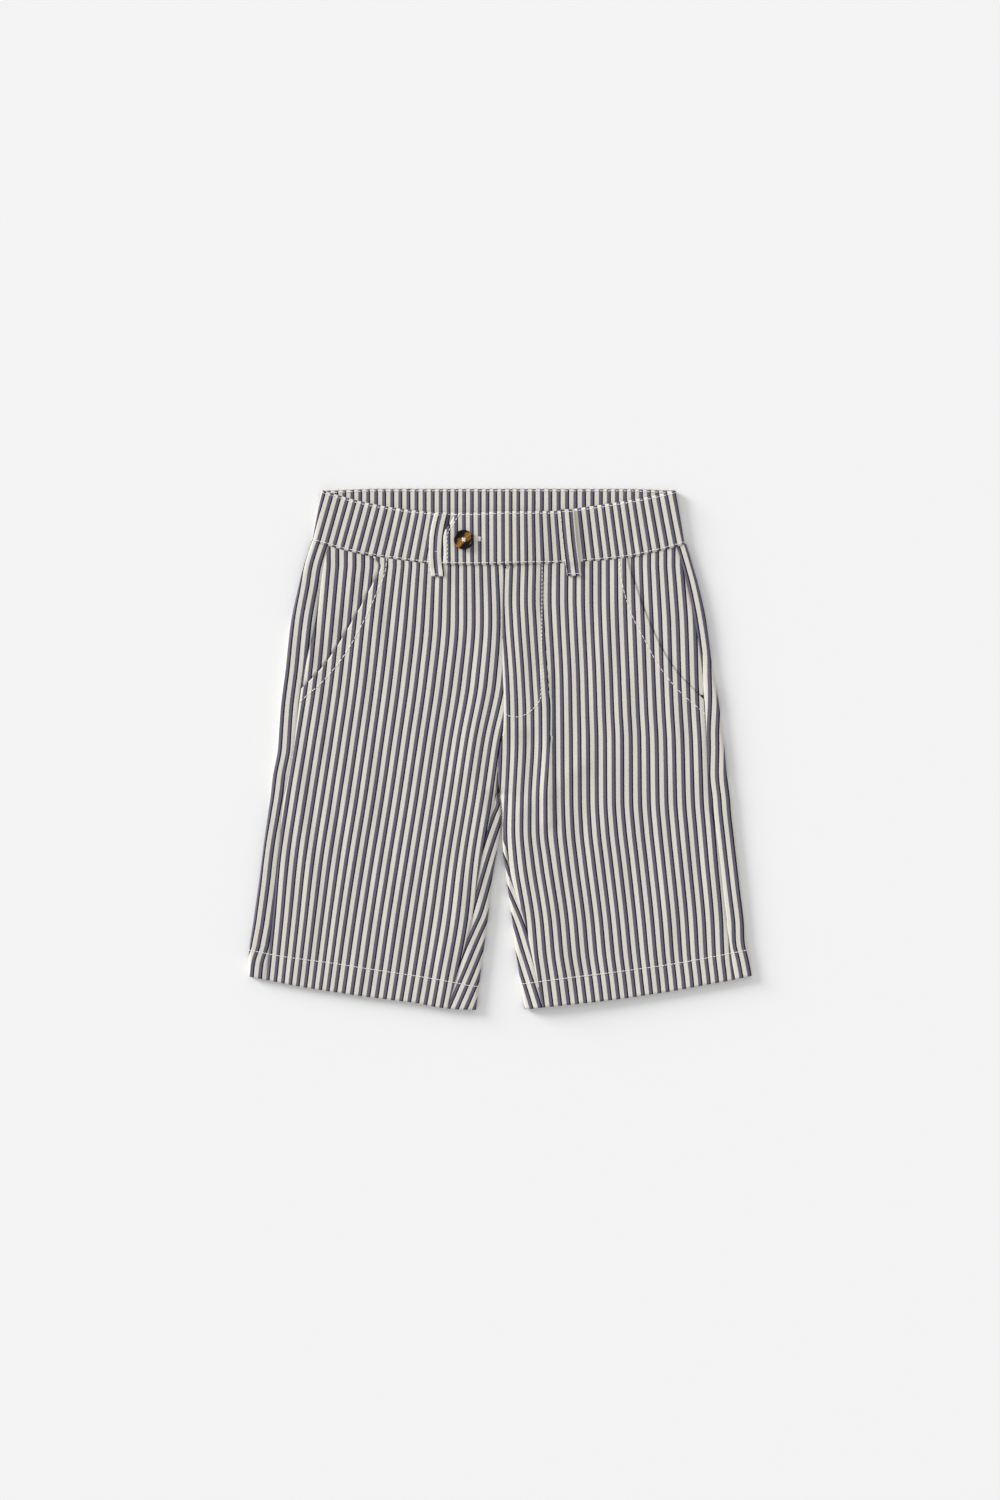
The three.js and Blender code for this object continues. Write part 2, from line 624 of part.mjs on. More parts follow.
// The button is turned to a rim round a shallow dish, with four holes through it.
async function buttonGeometry() {
  const wasm = await Module();
  wasm.setup();
  const { radius, thick, rim, foot, round, shoulder, slope, dish, hole, pitch } = BUTTON;
  const outline = [
    [0, 0],
    [radius - foot, 0],
    [radius - round, shoulder],
    [radius, thick / 2],
    [radius - round, thick - shoulder],
    [radius - rim / 2, thick],
    [radius - rim, thick - shoulder / 2],
    [radius - rim - slope, thick - dish],
    [0, thick - dish],
  ].map(([x, y]) => new THREE.Vector2(x, y));
  const toManifold = (geometry) => {
    geometry.deleteAttribute('normal');
    geometry.deleteAttribute('uv');
    const merged = mergeVertices(geometry, 1e-4);
    return new wasm.Manifold(new wasm.Mesh({
      numProp: 3,
      vertProperties: new Float32Array(merged.attributes.position.array),
      triVerts: new Uint32Array(merged.index.array),
    }));
  };
  const blank = new THREE.LatheGeometry(outline, 32);
  blank.rotateX(Math.PI / 2);
  let body = toManifold(blank);
  for (let quarter = 0; quarter < 4; quarter += 1) {
    const angle = Math.PI * (0.25 + quarter / 2);
    const drill = new THREE.CylinderGeometry(hole, hole, 3 * thick, 10);
    drill.rotateX(Math.PI / 2);
    drill.translate(pitch * Math.cos(angle), pitch * Math.sin(angle), thick / 2);
    body = body.subtract(toManifold(drill));
  }
  const mesh = body.getMesh();
  const geometry = new THREE.BufferGeometry();
  geometry.setAttribute('position', new THREE.BufferAttribute(new Float32Array(mesh.vertProperties), 3));
  geometry.setIndex(Array.from(mesh.triVerts));
  return geometry;
}

const group = new THREE.Group();

function add(name, geometry, finish) {
  const mesh = new THREE.Mesh(geometry, new THREE.MeshStandardMaterial(finish));
  mesh.name = name;
  group.add(mesh);
  return mesh;
}

add('back_right', shell(backPanel(rightLeg), CLOTH), STRIPED_COTTON);
add('back_left', shell(backPanel(leftLeg), CLOTH), STRIPED_COTTON);
add('front_right', shell(frontPanel(rightLeg), CLOTH), STRIPED_COTTON);
add('front_left', shell(frontPanel(leftLeg), CLOTH), STRIPED_COTTON);
add('pocket_facing_right', shell(pocketFacing(rightLeg), CLOTH), STRIPED_COTTON);
add('pocket_facing_left', shell(pocketFacing(leftLeg), CLOTH), STRIPED_COTTON);
add('waistband', shell(waistband(), BAND_CLOTH), STRIPED_BAND);
for (const loop of BELT_LOOPS) add(loop.name, shell(beltLoop(loop), LOOP_CLOTH), STRIPED_BAND);

const button = add('button', await buttonGeometry(), HORN_BUTTON);
button.position.set(BUTTON.x, BUTTON.y, TAB_HEIGHT + BAND_CLOTH / 2 + LAYER_GAP);

export default group;
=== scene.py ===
import math
from types import SimpleNamespace

import bpy
import numpy as np
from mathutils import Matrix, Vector


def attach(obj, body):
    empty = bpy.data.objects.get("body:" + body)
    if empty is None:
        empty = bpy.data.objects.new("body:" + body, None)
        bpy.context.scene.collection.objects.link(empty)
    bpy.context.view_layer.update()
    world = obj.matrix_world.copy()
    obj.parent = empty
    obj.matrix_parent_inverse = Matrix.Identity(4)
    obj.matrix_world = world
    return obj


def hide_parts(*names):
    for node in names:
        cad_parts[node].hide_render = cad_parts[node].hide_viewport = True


# Child's bermuda shorts in striped cotton, laid flat front up. The tables are in millimetres, in the
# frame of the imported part: +X the wearer's left, +Y from the hems to the waist, +Z up off the surface.

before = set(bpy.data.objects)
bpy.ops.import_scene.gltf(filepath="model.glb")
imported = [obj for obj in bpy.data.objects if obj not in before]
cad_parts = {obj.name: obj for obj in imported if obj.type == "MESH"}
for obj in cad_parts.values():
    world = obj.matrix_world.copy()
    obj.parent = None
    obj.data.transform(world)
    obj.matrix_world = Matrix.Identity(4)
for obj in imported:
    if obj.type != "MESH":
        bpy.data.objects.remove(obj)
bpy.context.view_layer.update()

MM = 0.001

# Layers, as in the solids
CLOTH = 1.2
BAND_CLOTH = 2.0
LOOP_CLOTH = 1.4
LAYER_GAP = 0.3
BACK_HEIGHT = CLOTH / 2
FRONT_HEIGHT = 4.0
BAND_BACK_HEIGHT = BAND_CLOTH / 2
BAND_FRONT_HEIGHT = 4.4
TAB_HEIGHT = BAND_FRONT_HEIGHT + BAND_CLOTH + LAYER_GAP
ROLL = (FRONT_HEIGHT - BACK_HEIGHT) / 2
BAND_ROLL = (BAND_FRONT_HEIGHT - BAND_BACK_HEIGHT) / 2

# The shown cloth is a thin shell whose outer face is that of its solid
THIN = 0.55
HEM_THICK = 1.1
SEAM_GAP = 0.08

FLY_UNDERLAP = 12
FLY_FOOT = 22
FLY_LIFT = CLOTH + LAYER_GAP
FLY_LIFT_WIDTH = 15
FLY_LIFT_FADE = 24
TAB_LIFT = 1.6
TAB_LIFT_REACH = 16
TAB_LIFT_START = (-52, -42)
CROTCH = -36
POCKET_FOOT = 42
FACING_UNDERLAP = 14

# Stripes: one repeat is slate, near-black and cream, left to right on the front. The tables give the
# middle of the dark part, which is slate and near-black together.
STRIPE = 6.5
BAND_STRIPE = 6.175
INNER_STRIPE = 6.7
LOOP_STRIPE = 6.1


def table(names, *rows):
    return [dict(zip(names.split(), row)) for row in rows]


# Lines of each leg: x at height y. outer and inner are the folded edges, side the side seam, pocket the
# slanted pocket mouth, centre the front panel's edge at the fly, the crotch seam and then the inseam.
RIGHT_LINES = table(
    "y outer side pocket centre inner",
    (165, -144.0, -130.5, -98.0, 1.8, -0.7),
    (148, -149.6, -135.2, -98.0, 1.7, -0.7),
    (142, -151.5, -136.6, -92.0, 1.7, -0.7),
    (125, -155.8, -139.2, -99.8, 1.4, -0.7),
    (100, -161.3, -142.6, -113.5, 1.0, -0.7),
    (65, -166.0, -150.5, -136.0, 1.2, -0.7),
    (35, -169.8, -155.2, -166.0, 2.2, -0.7),
    (16, -171.2, -157.5, -186.0, 1.7, -0.7),
    (0, -172.2, -159.5, -204.0, -1.1, -3.8),
    (-20, -175.6, -163.1, -224.0, -3.0, -3.2),
    (-30, -176.6, -165.1, -232.0, -3.9, -2.7),
    (-38, -177.5, -167.0, -240.0, -4.9, -1.2),
    (-46, -178.7, -168.0, -248.0, -6.6, 0.0),
    (-54, -179.8, -168.8, -256.0, -8.4, 0.3),
    (-70, -182.1, -170.0, -270.0, -12.3, -1.4),
    (-100, -185.9, -172.8, -300.0, -17.9, -6.6),
    (-130, -190.2, -175.5, -330.0, -22.3, -9.8),
    (-160, -194.0, -179.0, -360.0, -30.1, -13.8),
    (-200, -194.6, -184.4, -400.0, -41.5, -18.9),
)
LEFT_LINES = table(
    "y outer side pocket centre inner",
    (165, 140.8, 132.5, 95.5, 2.3, 0.5),
    (145, 147.0, 139.1, 97.8, 2.2, 0.5),
    (125, 152.7, 143.9, 104.2, 1.9, 0.5),
    (100, 158.2, 149.4, 113.5, 1.5, 0.5),
    (65, 162.9, 155.0, 131.7, 1.6, 0.5),
    (35, 168.2, 157.3, 160.0, 2.7, 0.5),
    (16, 170.4, 158.2, 179.0, 2.2, 0.5),
    (0, 172.5, 158.9, 195.0, -0.6, 0.5),
    (-20, 174.4, 160.3, 215.0, -2.2, 0.5),
    (-38, 177.3, 162.0, 233.0, 0.3, 0.5),
    (-46, 177.9, 163.0, 241.0, 1.2, 1.0),
    (-70, 180.6, 167.0, 265.0, 3.9, 1.2),
    (-100, 184.1, 170.5, 295.0, 8.9, 4.6),
    (-130, 187.4, 173.7, 325.0, 18.1, 8.6),
    (-150, 189.4, 176.4, 345.0, 22.5, 11.1),
    (-160, 191.4, 177.8, 355.0, 24.6, 12.3),
    (-200, 197.4, 182.9, 395.0, 32.6, 18.5),
)

# Waistband: y of its front top edge and of its seam to the fronts, by x along its top edge
BAND_FRONT = table(
    "x top seam",
    (-138.2, 199.0, 160.5),
    (-102, 189.2, 150.6),
    (-68, 183.7, 145.3),
    (-46, 182.0, 142.8),
    (-20, 181.7, 142.4),
    (0, 182.8, 142.8),
    (40, 183.0, 143.6),
    (66, 186.1, 145.2),
    (92, 190.2, 147.7),
    (114, 194.1, 152.4),
    (135.2, 199.0, 158.2),
)
BAND_BACK_TOP = 200.4
BAND_BACK_SEAM = 165.2
BAND_SLANT = 0.05
BAND_CORNER = 138
BACK_EDGE_RISE = (95, 140)
TAB_ROOT = -16.0
BAND_UNDERLAP_END = 14
TAB_FULL = 16
TAB_RAMP = 46
TAB_END = table(
    "down x",
    (0, -33.5),
    (0.07, -35.7),
    (0.2, -38.4),
    (0.38, -43.0),
    (0.5, -43.9),
    (0.75, -43.5),
    (1, -43.8),
)

# Hems of both legs: y of the folded edge and of the line of stitches above it
HEM = table(
    "x edge stitch",
    (-194.4, -174.4, -154.3),
    (-170, -179.3, -159.0),
    (-155, -182.2, -161.2),
    (-125, -187.0, -165.2),
    (-102, -190.3, -168.9),
    (-80, -193.1, -172.2),
    (-65, -195.0, -174.4),
    (-49, -198.1, -177.0),
    (-35, -199.7, -179.5),
    (-19, -200.3, -182.3),
    (17, -199.9, -180.4),
    (32, -198.4, -178.4),
    (55, -196.1, -175.4),
    (84, -192.8, -171.9),
    (132, -185.8, -165.3),
    (160, -180.6, -160.3),
    (175, -178.0, -157.4),
    (194, -173.8, -153.6),
)

# Run of the stripes over each front: x of the middle of the numbered dark stripe at height y.
# Stripes are counted outwards from the fly.
RIGHT_GRAIN = table(
    "y s0 s6 s14 s22",
    (141, 3.1, -33.4, -81.4, -134.4),
    (100, 4.8, -33.5, -86.2, -138.1),
    (53, 1.9, -38.0, -91.6, -142.9),
    (7, -7.5, -45.0, -97.9, -149.9),
    (-39, -14.4, -52.0, -104.6, -157.4),
    (-85, -21.8, -59.4, -112.2, -164.2),
    (-131, -26.7, -66.8, -119.4, -168.5),
    (-177, -35.2, -73.9, -125.9, -173.3),
    (-200, -39.6, -77.7, -129.2, -175.8),
)
LEFT_GRAIN = table(
    "y s0 s5 s6 s14 s22",
    (141, 2.3, 31.9, 38.0, 88.9, 139.1),
    (115, 1.6, 31.4, 37.7, 89.1, 141.4),
    (100, 2.1, 32.2, 38.3, 89.5, 142.5),
    (53, 5.3, 35.2, 40.6, 91.5, 144.1),
    (30, 6.0, 36.7, 40.9, 92.4, 145.2),
    (7, 6.2, 36.9, 41.0, 93.5, 146.6),
    (-39, 4.4, 34.4, 41.4, 93.7, 148.0),
    (-62, 3.7, 34.6, 42.1, 95.4, 149.9),
    (-85, 5.0, 37.4, 44.5, 98.2, 152.0),
    (-131, 12.2, 44.3, 50.9, 103.4, 156.4),
    (-158, 14.6, 46.9, 53.4, 106.1, 157.9),
    (-177, 17.0, 49.9, 56.5, 108.3, 160.0),
    (-200, 19.7, 52.9, 59.4, 110.8, 161.7),
)
# On the backs: how far in from the folded edge the middle of one dark stripe lies, over the front side
BACK_GRAIN = table(
    "y right left",
    (150, 5.3, 0.4),
    (141, 5.6, 0.5),
    (125, 7.0, 0.8),
    (100, 8.0, 1.3),
    (77, 8.6, 1.0),
    (53, 9.1, 4.0),
    (30, 8.9, 7.8),
    (7, 8.8, 11.3),
    (-39, 8.0, 15.3),
    (-85, 7.0, 15.4),
    (-105, 7.3, 15.4),
    (-131, 7.5, 15.0),
    (-150, 7.0, 15.9),
    (-165, 3.6, 15.2),
    (-178, 2.4, 14.8),
)
# Where the backs come round the inner edges of the legs: x of one dark stripe's middle at height y
RIGHT_INNER_GRAIN = table(
    "y x",
    (-24, 4.3),
    (-33, 4.5),
    (-40, 5.0),
    (-52, 0.8),
    (-62, -2.8),
    (-80, -8.8),
    (-99, -14.5),
    (-117, -19.5),
    (-127, -22.6),
    (-136, -26.6),
    (-154, -34.5),
    (-173, -42.3),
    (-191, -50.0),
    (-205, -56.0),
)
LEFT_INNER_GRAIN = table(
    "y x",
    (-70, -10.0),
    (-85, -3.8),
    (-99, 1.6),
    (-108, 5.6),
    (-127, 14.1),
    (-136, 17.6),
    (-154, 23.2),
    (-173, 29.2),
    (-191, 34.9),
    (-205, 39.0),
)
TUCK_STRIPE = 5

# On the band's front: x of the middle of the numbered dark stripe at the top edge and at the seam.
# Stripes are counted from the corner on that side.
RIGHT_BAND_GRAIN = table(
    "stripe top seam",
    (25, 14.0, 14.0),
    (15, -46.0, -52.3),
    (13, -58.0, -65.1),
    (10, -75.8, -84.3),
    (6, -100.0, -110.1),
    (1, -129.9, -140.4),
    (-1, -141.5, -152.5),
)
LEFT_BAND_GRAIN = table(
    "stripe top seam",
    (-32, -58.3, -57.8),
    (-28, -34.3, -33.8),
    (-22, 1.8, 1.9),
    (-18, 25.0, 25.8),
    (-14, 48.0, 52.0),
    (-10, 72.9, 77.9),
    (-5, 102.3, 108.8),
    (-1, 127.0, 134.8),
    (1, 139.4, 147.5),
)
# On the band's back, which shows its inner side: x of the numbered dark stripe
BACK_BAND_GRAIN = table(
    "stripe x",
    (-23, -138.7),
    (-16, -95.9),
    (-8, -46.1),
    (0, 1.9),
    (4, 25.4),
    (7, 44.7),
    (12, 77.3),
    (22, 139.0),
)

# Folds and creases of the front: each runs from one point to another and stands up or dips by rise
FOLDS = table(
    "x0 y0 x1 y1 width rise",
    (34, 56, 37, -55, 5, 1.3),
    (43, 60, 44, -60, 4, -0.4),
    (-8, 75, -24, -15, 9, 0.8),
    (14, 12, 12, -28, 7, 0.8),
    (-14, -40, -62, -12, 8, 0.6),
    (16, -46, 60, -14, 8, 0.6),
    (72, -2, 140, -26, 12, 0.7),
    (-140, 2, -118, -30, 10, 0.6),
    (-28, -92, -48, -165, 9, 0.5),
    (26, -95, 46, -168, 9, 0.5),
    (8, -60, 30, -190, 60, 1.6),
)
FOLD_FADE = 12

BELT_LOOPS = {
    "belt_loop_right": SimpleNamespace(
        sign=-1,
        width=9.6,
        stripe=-0.25,
        line=table(
            "y x", (181.6, -45.9), (171.3, -48.4), (161.3, -49.8), (149.8, -50.2), (133.6, -48.6)
        ),
    ),
    "belt_loop_left": SimpleNamespace(
        sign=1,
        width=10.3,
        stripe=-3.6,
        line=table("y x", (184.4, 51.2), (161.3, 53.2), (146.0, 55.1), (134.0, 56.7)),
    ),
}
LOOP_BOW = 0.8
LOOP_BOW_END = 0.85
LOOP_STEP = 1.2
LOOP_EDGE_DROP = 0.25

BUTTON = SimpleNamespace(
    x=-28.4, y=161.3, radius=7.6, thick=2.8, rim=1.5, dish=0.8, hole=0.85, pitch=1.75
)


def smooth(start, end, at):
    share = np.clip((np.asarray(at, float) - start) / (end - start), 0, 1)
    return share * share * (3 - 2 * share)


def mix(start, end, share):
    return start + (end - start) * share


def curve(rows, column, along="y"):
    """A smooth curve through one column of a table, with no overshoot, level past its ends."""
    points = sorted((row[along], row[column]) for row in rows)
    xs, ys = np.array(points, float).T
    slopes = np.diff(ys) / np.diff(xs)
    tangents = np.concatenate([slopes[:1], np.zeros(len(xs) - 2), slopes[-1:]])
    before, after = slopes[:-1], slopes[1:]
    same = before * after > 0
    tangents[1:-1][same] = 2 * (before * after)[same] / (before + after)[same]

    def at(value):
        value = np.clip(np.asarray(value, float), xs[0], xs[-1])
        i = np.clip(np.searchsorted(xs, value) - 1, 0, len(xs) - 2)
        span = xs[i + 1] - xs[i]
        share = (value - xs[i]) / span
        square, cube = share**2, share**3
        return (
            ys[i] * (2 * cube - 3 * square + 1)
            + tangents[i] * span * (cube - 2 * square + share)
            + ys[i + 1] * (3 * square - 2 * cube)
            + tangents[i + 1] * span * (cube - square)
        )

    return at


def make_leg(side, sign, lines, grain, inner_grain):
    leg = SimpleNamespace(name=side, sign=sign)
    for column in ("outer", "side", "pocket", "centre", "inner"):
        setattr(leg, column, curve(lines, column))
    leg.grain = [(int(c[1:]) * sign, curve(grain, c)) for c in grain[0] if c != "y"]
    leg.back_grain = curve(BACK_GRAIN, side)
    leg.inner_grain = curve(inner_grain, "x")
    return leg


LEGS = {
    "right": make_leg("right", -1, RIGHT_LINES, RIGHT_GRAIN, RIGHT_INNER_GRAIN),
    "left": make_leg("left", 1, LEFT_LINES, LEFT_GRAIN, LEFT_INNER_GRAIN),
}


def slant(x):
    return x * (1 + BAND_SLANT * np.abs(x) / BAND_CORNER)


front_top = curve(BAND_FRONT, "top", "x")
front_seam_on_top = curve(BAND_FRONT, "seam", "x")
front_seam = curve([{"x": slant(row["x"]), "y": row["seam"]} for row in BAND_FRONT], "y", "x")
hem = curve(HEM, "edge", "x")
hem_stitch = curve(HEM, "stitch", "x")
tab_end = curve(TAB_END, "x", "down")


def back_edge(x, level, front_edge):
    return mix(level, front_edge(np.sign(x) * 150), smooth(*BACK_EDGE_RISE, np.abs(x)))


def back_top(x):
    return back_edge(x, BAND_BACK_TOP, front_top)


def back_seam(x):
    return back_edge(x, BAND_BACK_SEAM, front_seam)


# Low waves of the cloth as it lies: direction mostly across the stripes
WAVES = np.random.default_rng(11)
WAVE_ROWS = [
    SimpleNamespace(
        length=WAVES.uniform(16, 52),
        turn=WAVES.normal(0.0, 0.45),
        phase=WAVES.uniform(0, 2 * math.pi),
        rise=WAVES.uniform(0.03, 0.1),
    )
    for _ in range(16)
]


def waves(x, y):
    total = np.zeros(np.shape(x))
    for wave in WAVE_ROWS:
        run = (x * math.cos(wave.turn) + y * math.sin(wave.turn) * 0.6) / wave.length
        total = total + wave.rise * np.sin(2 * math.pi * run + wave.phase)
    return total


def fold_height(x, y):
    total = np.zeros(np.shape(x))
    for fold in FOLDS:
        run = np.array([fold["x1"] - fold["x0"], fold["y1"] - fold["y0"]])
        along = ((x - fold["x0"]) * run[0] + (y - fold["y0"]) * run[1]) / (run @ run)
        share = np.clip(along, 0, 1)
        away = np.hypot(x - fold["x0"] - share * run[0], y - fold["y0"] - share * run[1])
        total = total + fold["rise"] * np.exp(-((away / fold["width"]) ** 2))
    return total


def inner_roll(y):
    return smooth(CROTCH + 8, CROTCH + 1, y)


def edge_of(leg, edge, y):
    if edge == "outer":
        return leg.sign, np.ones(np.shape(y)), leg.outer(y) - leg.sign * CLOTH / 2
    return -leg.sign, inner_roll(y), leg.inner(y) + leg.sign * CLOTH / 2


def fly_lift(leg, x, y):
    if leg.sign < 0:
        return np.zeros(np.shape(x))
    across = 1 - smooth(FLY_LIFT_WIDTH, FLY_LIFT_WIDTH + FLY_LIFT_FADE, x - leg.centre(y))
    return FLY_LIFT * across * smooth(2, FLY_FOOT - 2, y)


SIDE_DIP = SimpleNamespace(depth=0.45, width=1.3)
SIDE_SLIT = SimpleNamespace(share=1.8, aside=0.3, width=0.7, foot=(45, 65), top=(138, 120))
INSEAM_DIP = SimpleNamespace(depth=0.55, width=2.4, top=(18, 0))
HEM_DIP = SimpleNamespace(depth=0.16, width=1.2)


def seam_dip(leg, x, y):
    """The cloth sinks at the side seam and the hem's stitches, and lies lower past the inseam."""
    slit = SIDE_SLIT
    side = np.exp(-(((x - leg.side(y)) / SIDE_DIP.width) ** 2))
    if leg.sign < 0:
        line = np.exp(-(((x - leg.side(y) - slit.aside) / slit.width) ** 2))
        side = side + slit.share * line * smooth(*slit.foot, y) * smooth(*slit.top, y)
    past_inseam = (leg.centre(y) - x) * leg.sign
    inseam = np.where(past_inseam > 0, np.exp(-((past_inseam / INSEAM_DIP.width) ** 2)), 0)
    inseam = inseam * smooth(*INSEAM_DIP.top, y)
    hem_line = np.exp(-(((y - hem_stitch(x)) / HEM_DIP.width) ** 2))
    return -SIDE_DIP.depth * side - INSEAM_DIP.depth * inseam - HEM_DIP.depth * hem_line


def tab_lift(x, y):
    """The fronts stand up a little where the layers of the fly and the tab's seam lie under them."""
    near = np.exp(-(np.maximum(0, front_seam(x) - y) / TAB_LIFT_REACH) ** 2)
    return TAB_LIFT * near * smooth(*TAB_LIFT_START, x) * smooth(TAB_RAMP, TAB_FULL - 6, x)


def relief(leg, x, y):
    from_outer = np.abs(leg.outer(y) - x)
    from_inner = mix(FOLD_FADE, np.abs(x - leg.inner(y)), inner_roll(y))
    fade = smooth(ROLL, FOLD_FADE, np.minimum(from_outer, from_inner))
    free = smooth(0, 14, front_seam(x) - y) * smooth(0, 10, y - hem(x)) * 0.8 + 0.2
    height = fold_height(x, y) * fade + waves(x, y) * fade * free
    lift = np.maximum(fly_lift(leg, x, y), tab_lift(x, y))
    return height + lift + seam_dip(leg, x, y) * smooth(0.5, 3, from_outer)


def surface(leg, x, y):
    """Height of the middle of the front layer."""
    z = FRONT_HEIGHT + relief(leg, x, y)
    for edge in ("outer", "inner"):
        out, rolled, fold = edge_of(leg, edge, y)
        short = ROLL - np.clip((fold - x) * out, 0, ROLL)
        z = z - (ROLL - np.sqrt(ROLL**2 - short**2)) * rolled
    return z


WRAP_LEAD = 4
BEND_SHARE = 0.6


def wrap_point(leg, y, edge, share):
    """A back panel's wrap, from 0 on the surface, round the folded edge, to 1 at the seam on top.

    Also gives the way in from the silhouette, positive over the front and negative underneath."""
    out, rolled, fold = edge_of(leg, edge, y)
    line = leg.side(y) if edge == "outer" else leg.centre(y)
    reach = np.maximum(0.05, (fold - line - out * SEAM_GAP / 2) * out)
    full_turn = np.where(reach < ROLL, np.arccos(1 - np.minimum(reach / ROLL, 1)), math.pi / 2)
    turn = (full_turn + math.pi / 2) * rolled
    flap = np.maximum(0, reach - ROLL) * rolled
    silhouette = leg.outer(y) if edge == "outer" else leg.inner(y)
    limit = mix(leg.sign * SEAM_GAP / 2, silhouette, rolled)
    middle = limit - out * (ROLL + CLOTH / 2) * np.sin(np.minimum(turn, math.pi / 2))
    arc = ROLL * turn
    total = WRAP_LEAD + arc + flap
    bend = np.minimum(WRAP_LEAD + arc, total * 0.8)
    length = np.where(
        share <= BEND_SHARE,
        bend * share / BEND_SHARE,
        mix(bend, total, (share - BEND_SHARE) / (1 - BEND_SHARE)),
    )
    angle = np.clip((length - WRAP_LEAD) / ROLL, 0, np.maximum(turn, 0)) - math.pi / 2
    over = np.maximum(0, length - WRAP_LEAD - arc)
    lead = np.maximum(0, WRAP_LEAD - length)
    x = middle + out * (ROLL * np.cos(angle) - over - lead)
    round_z = BACK_HEIGHT + ROLL + ROLL * np.sin(angle)
    z = np.where(over > 0, surface(leg, x, y), round_z)
    rolled_in = (ROLL + CLOTH / 2) * (1 - np.cos(angle)) * np.sign(angle)
    under = -(lead + (ROLL + CLOTH / 2) * (turn > 0))
    way = np.where(over > 0, ROLL + CLOTH / 2 + over, np.where(lead > 0, under, rolled_in))
    return x, z, way


def height_of(down, x_at, top_at):
    """Height where a column has gone the share down of its way from the waist seam to the hem."""
    y = mix(150.0, -190.0, down)
    for _ in range(18):
        x = x_at(y)
        y = mix(y, mix(top_at(x, y) - SEAM_GAP, hem(x), down), 0.6)
    return y


def front_grain(leg, x, y):
    """Number of stripes from the fly, for each point of a front."""
    lines = sorted(((n, line(y)) for n, line in leg.grain), key=lambda pair: pair[0])
    value = np.zeros(np.shape(x))
    for i in range(len(lines) - 1):
        (number, place), (after, place_after) = lines[i], lines[i + 1]
        inside = (x >= place) | (i == 0)
        inside &= (x < place_after) | (i == len(lines) - 2)
        count = number + (x - place) * (after - number) / (place_after - place)
        if number == TUCK_STRIPE:
            # The tuck hides part of the cream stripe
            pitch = np.maximum(place_after - place, STRIPE)
            count = np.where(
                x < place + 0.3 * pitch, number + (x - place) / pitch, after - (place_after - x) / pitch
            )
        value = np.where(inside, count, value)
    return value


def outer_grain(leg, way, y):
    """Stripes on a back panel near its outer fold, by the way in from there."""
    return -leg.sign * (way - leg.back_grain(y)) / STRIPE


def inner_grain(leg, way, y):
    """Stripes on a back panel near its inner fold, by the way in from there."""
    return (leg.inner(y) + leg.sign * way - leg.inner_grain(y)) / INNER_STRIPE


def normals(mid, outward):
    """Unit normals of a grid of points, facing the given way in its middle."""
    across = np.gradient(mid, axis=1)
    along = np.gradient(mid, axis=0)
    n = np.cross(across, along)
    n /= np.linalg.norm(n, axis=2, keepdims=True)
    middle = n[n.shape[0] // 2, n.shape[1] // 2]
    return n if middle @ outward > 0 else -n


def shell(name, mid, outward, solid_wall, thick, u, v, inner_u=None):
    """A thin closed shell. Its outer face is that of the solid, and its edges are rounded."""
    rows, columns = u.shape
    n = normals(mid, outward)
    thick = np.broadcast_to(thick, u.shape)[..., None]
    outer = mid + n * solid_wall / 2
    inner = outer - n * thick
    rim = [(0, c) for c in range(columns - 1)] + [(r, columns - 1) for r in range(rows - 1)]
    rim += [(rows - 1, c) for c in range(columns - 1, 0, -1)] + [(r, 0) for r in range(rows - 1, 0, -1)]
    rim = np.array(rim)
    centre = (outer + inner)[rim[:, 0], rim[:, 1]] / 2
    inward = np.clip(rim, 1, [rows - 2, columns - 2])
    step = (outer[rim[:, 0], rim[:, 1]] - outer[inward[:, 0], inward[:, 1]])
    step /= np.maximum(np.linalg.norm(step, axis=1, keepdims=True), 1e-6)
    centre = centre + step * thick[rim[:, 0], rim[:, 1]] * 0.3
    points = np.concatenate([outer.reshape(-1, 3), inner.reshape(-1, 3), centre]) * MM
    count = rows * columns
    index = np.arange(count).reshape(rows, columns)
    a, b = index[:-1, :-1].ravel(), index[1:, :-1].ravel()
    c, d = index[1:, 1:].ravel(), index[:-1, 1:].ravel()
    outer_faces = np.stack([a, b, c, d], axis=1)
    inner_faces = np.stack([a, d, c, b], axis=1) + count
    edge = index[rim[:, 0], rim[:, 1]]
    after = np.roll(edge, -1)
    bulge = 2 * count + np.arange(len(rim))
    bulge_after = np.roll(bulge, -1)
    upper = np.stack([edge, after, bulge_after, bulge], axis=1)
    lower = np.stack([bulge, bulge_after, after + count, edge + count], axis=1)
    faces = np.concatenate([outer_faces, inner_faces, upper, lower])
    across = mid[rows // 2, columns // 2 + 1] - mid[rows // 2, columns // 2]
    along = mid[rows // 2 + 1, columns // 2] - mid[rows // 2, columns // 2]
    if np.cross(along, across) @ n[rows // 2, columns // 2] < 0:
        faces = faces[:, ::-1]
    uv = np.stack([u.ravel(), v.ravel()], axis=1)
    inner_uv = uv if inner_u is None else np.stack([inner_u.ravel(), v.ravel()], axis=1)
    all_uv = np.concatenate([uv, inner_uv, uv[edge]])
    mesh = bpy.data.meshes.new(name)
    mesh.from_pydata(points.tolist(), [], faces.tolist())
    layer = mesh.uv_layers.new(name="cloth")
    layer.data.foreach_set("uv", all_uv[faces.ravel()].ravel())
    mesh.polygons.foreach_set("use_smooth", np.ones(len(faces), bool))
    mesh.update()
    piece = bpy.data.objects.new(name, mesh)
    bpy.context.scene.collection.objects.link(piece)
    return piece, outer, n


FRONT_COLUMNS = 110
PANEL_ROWS = 200
WRAP_COLUMNS = 26
FLOOR_COLUMNS = 60
DOWN = np.linspace(0, 1, PANEL_ROWS)[:, None]


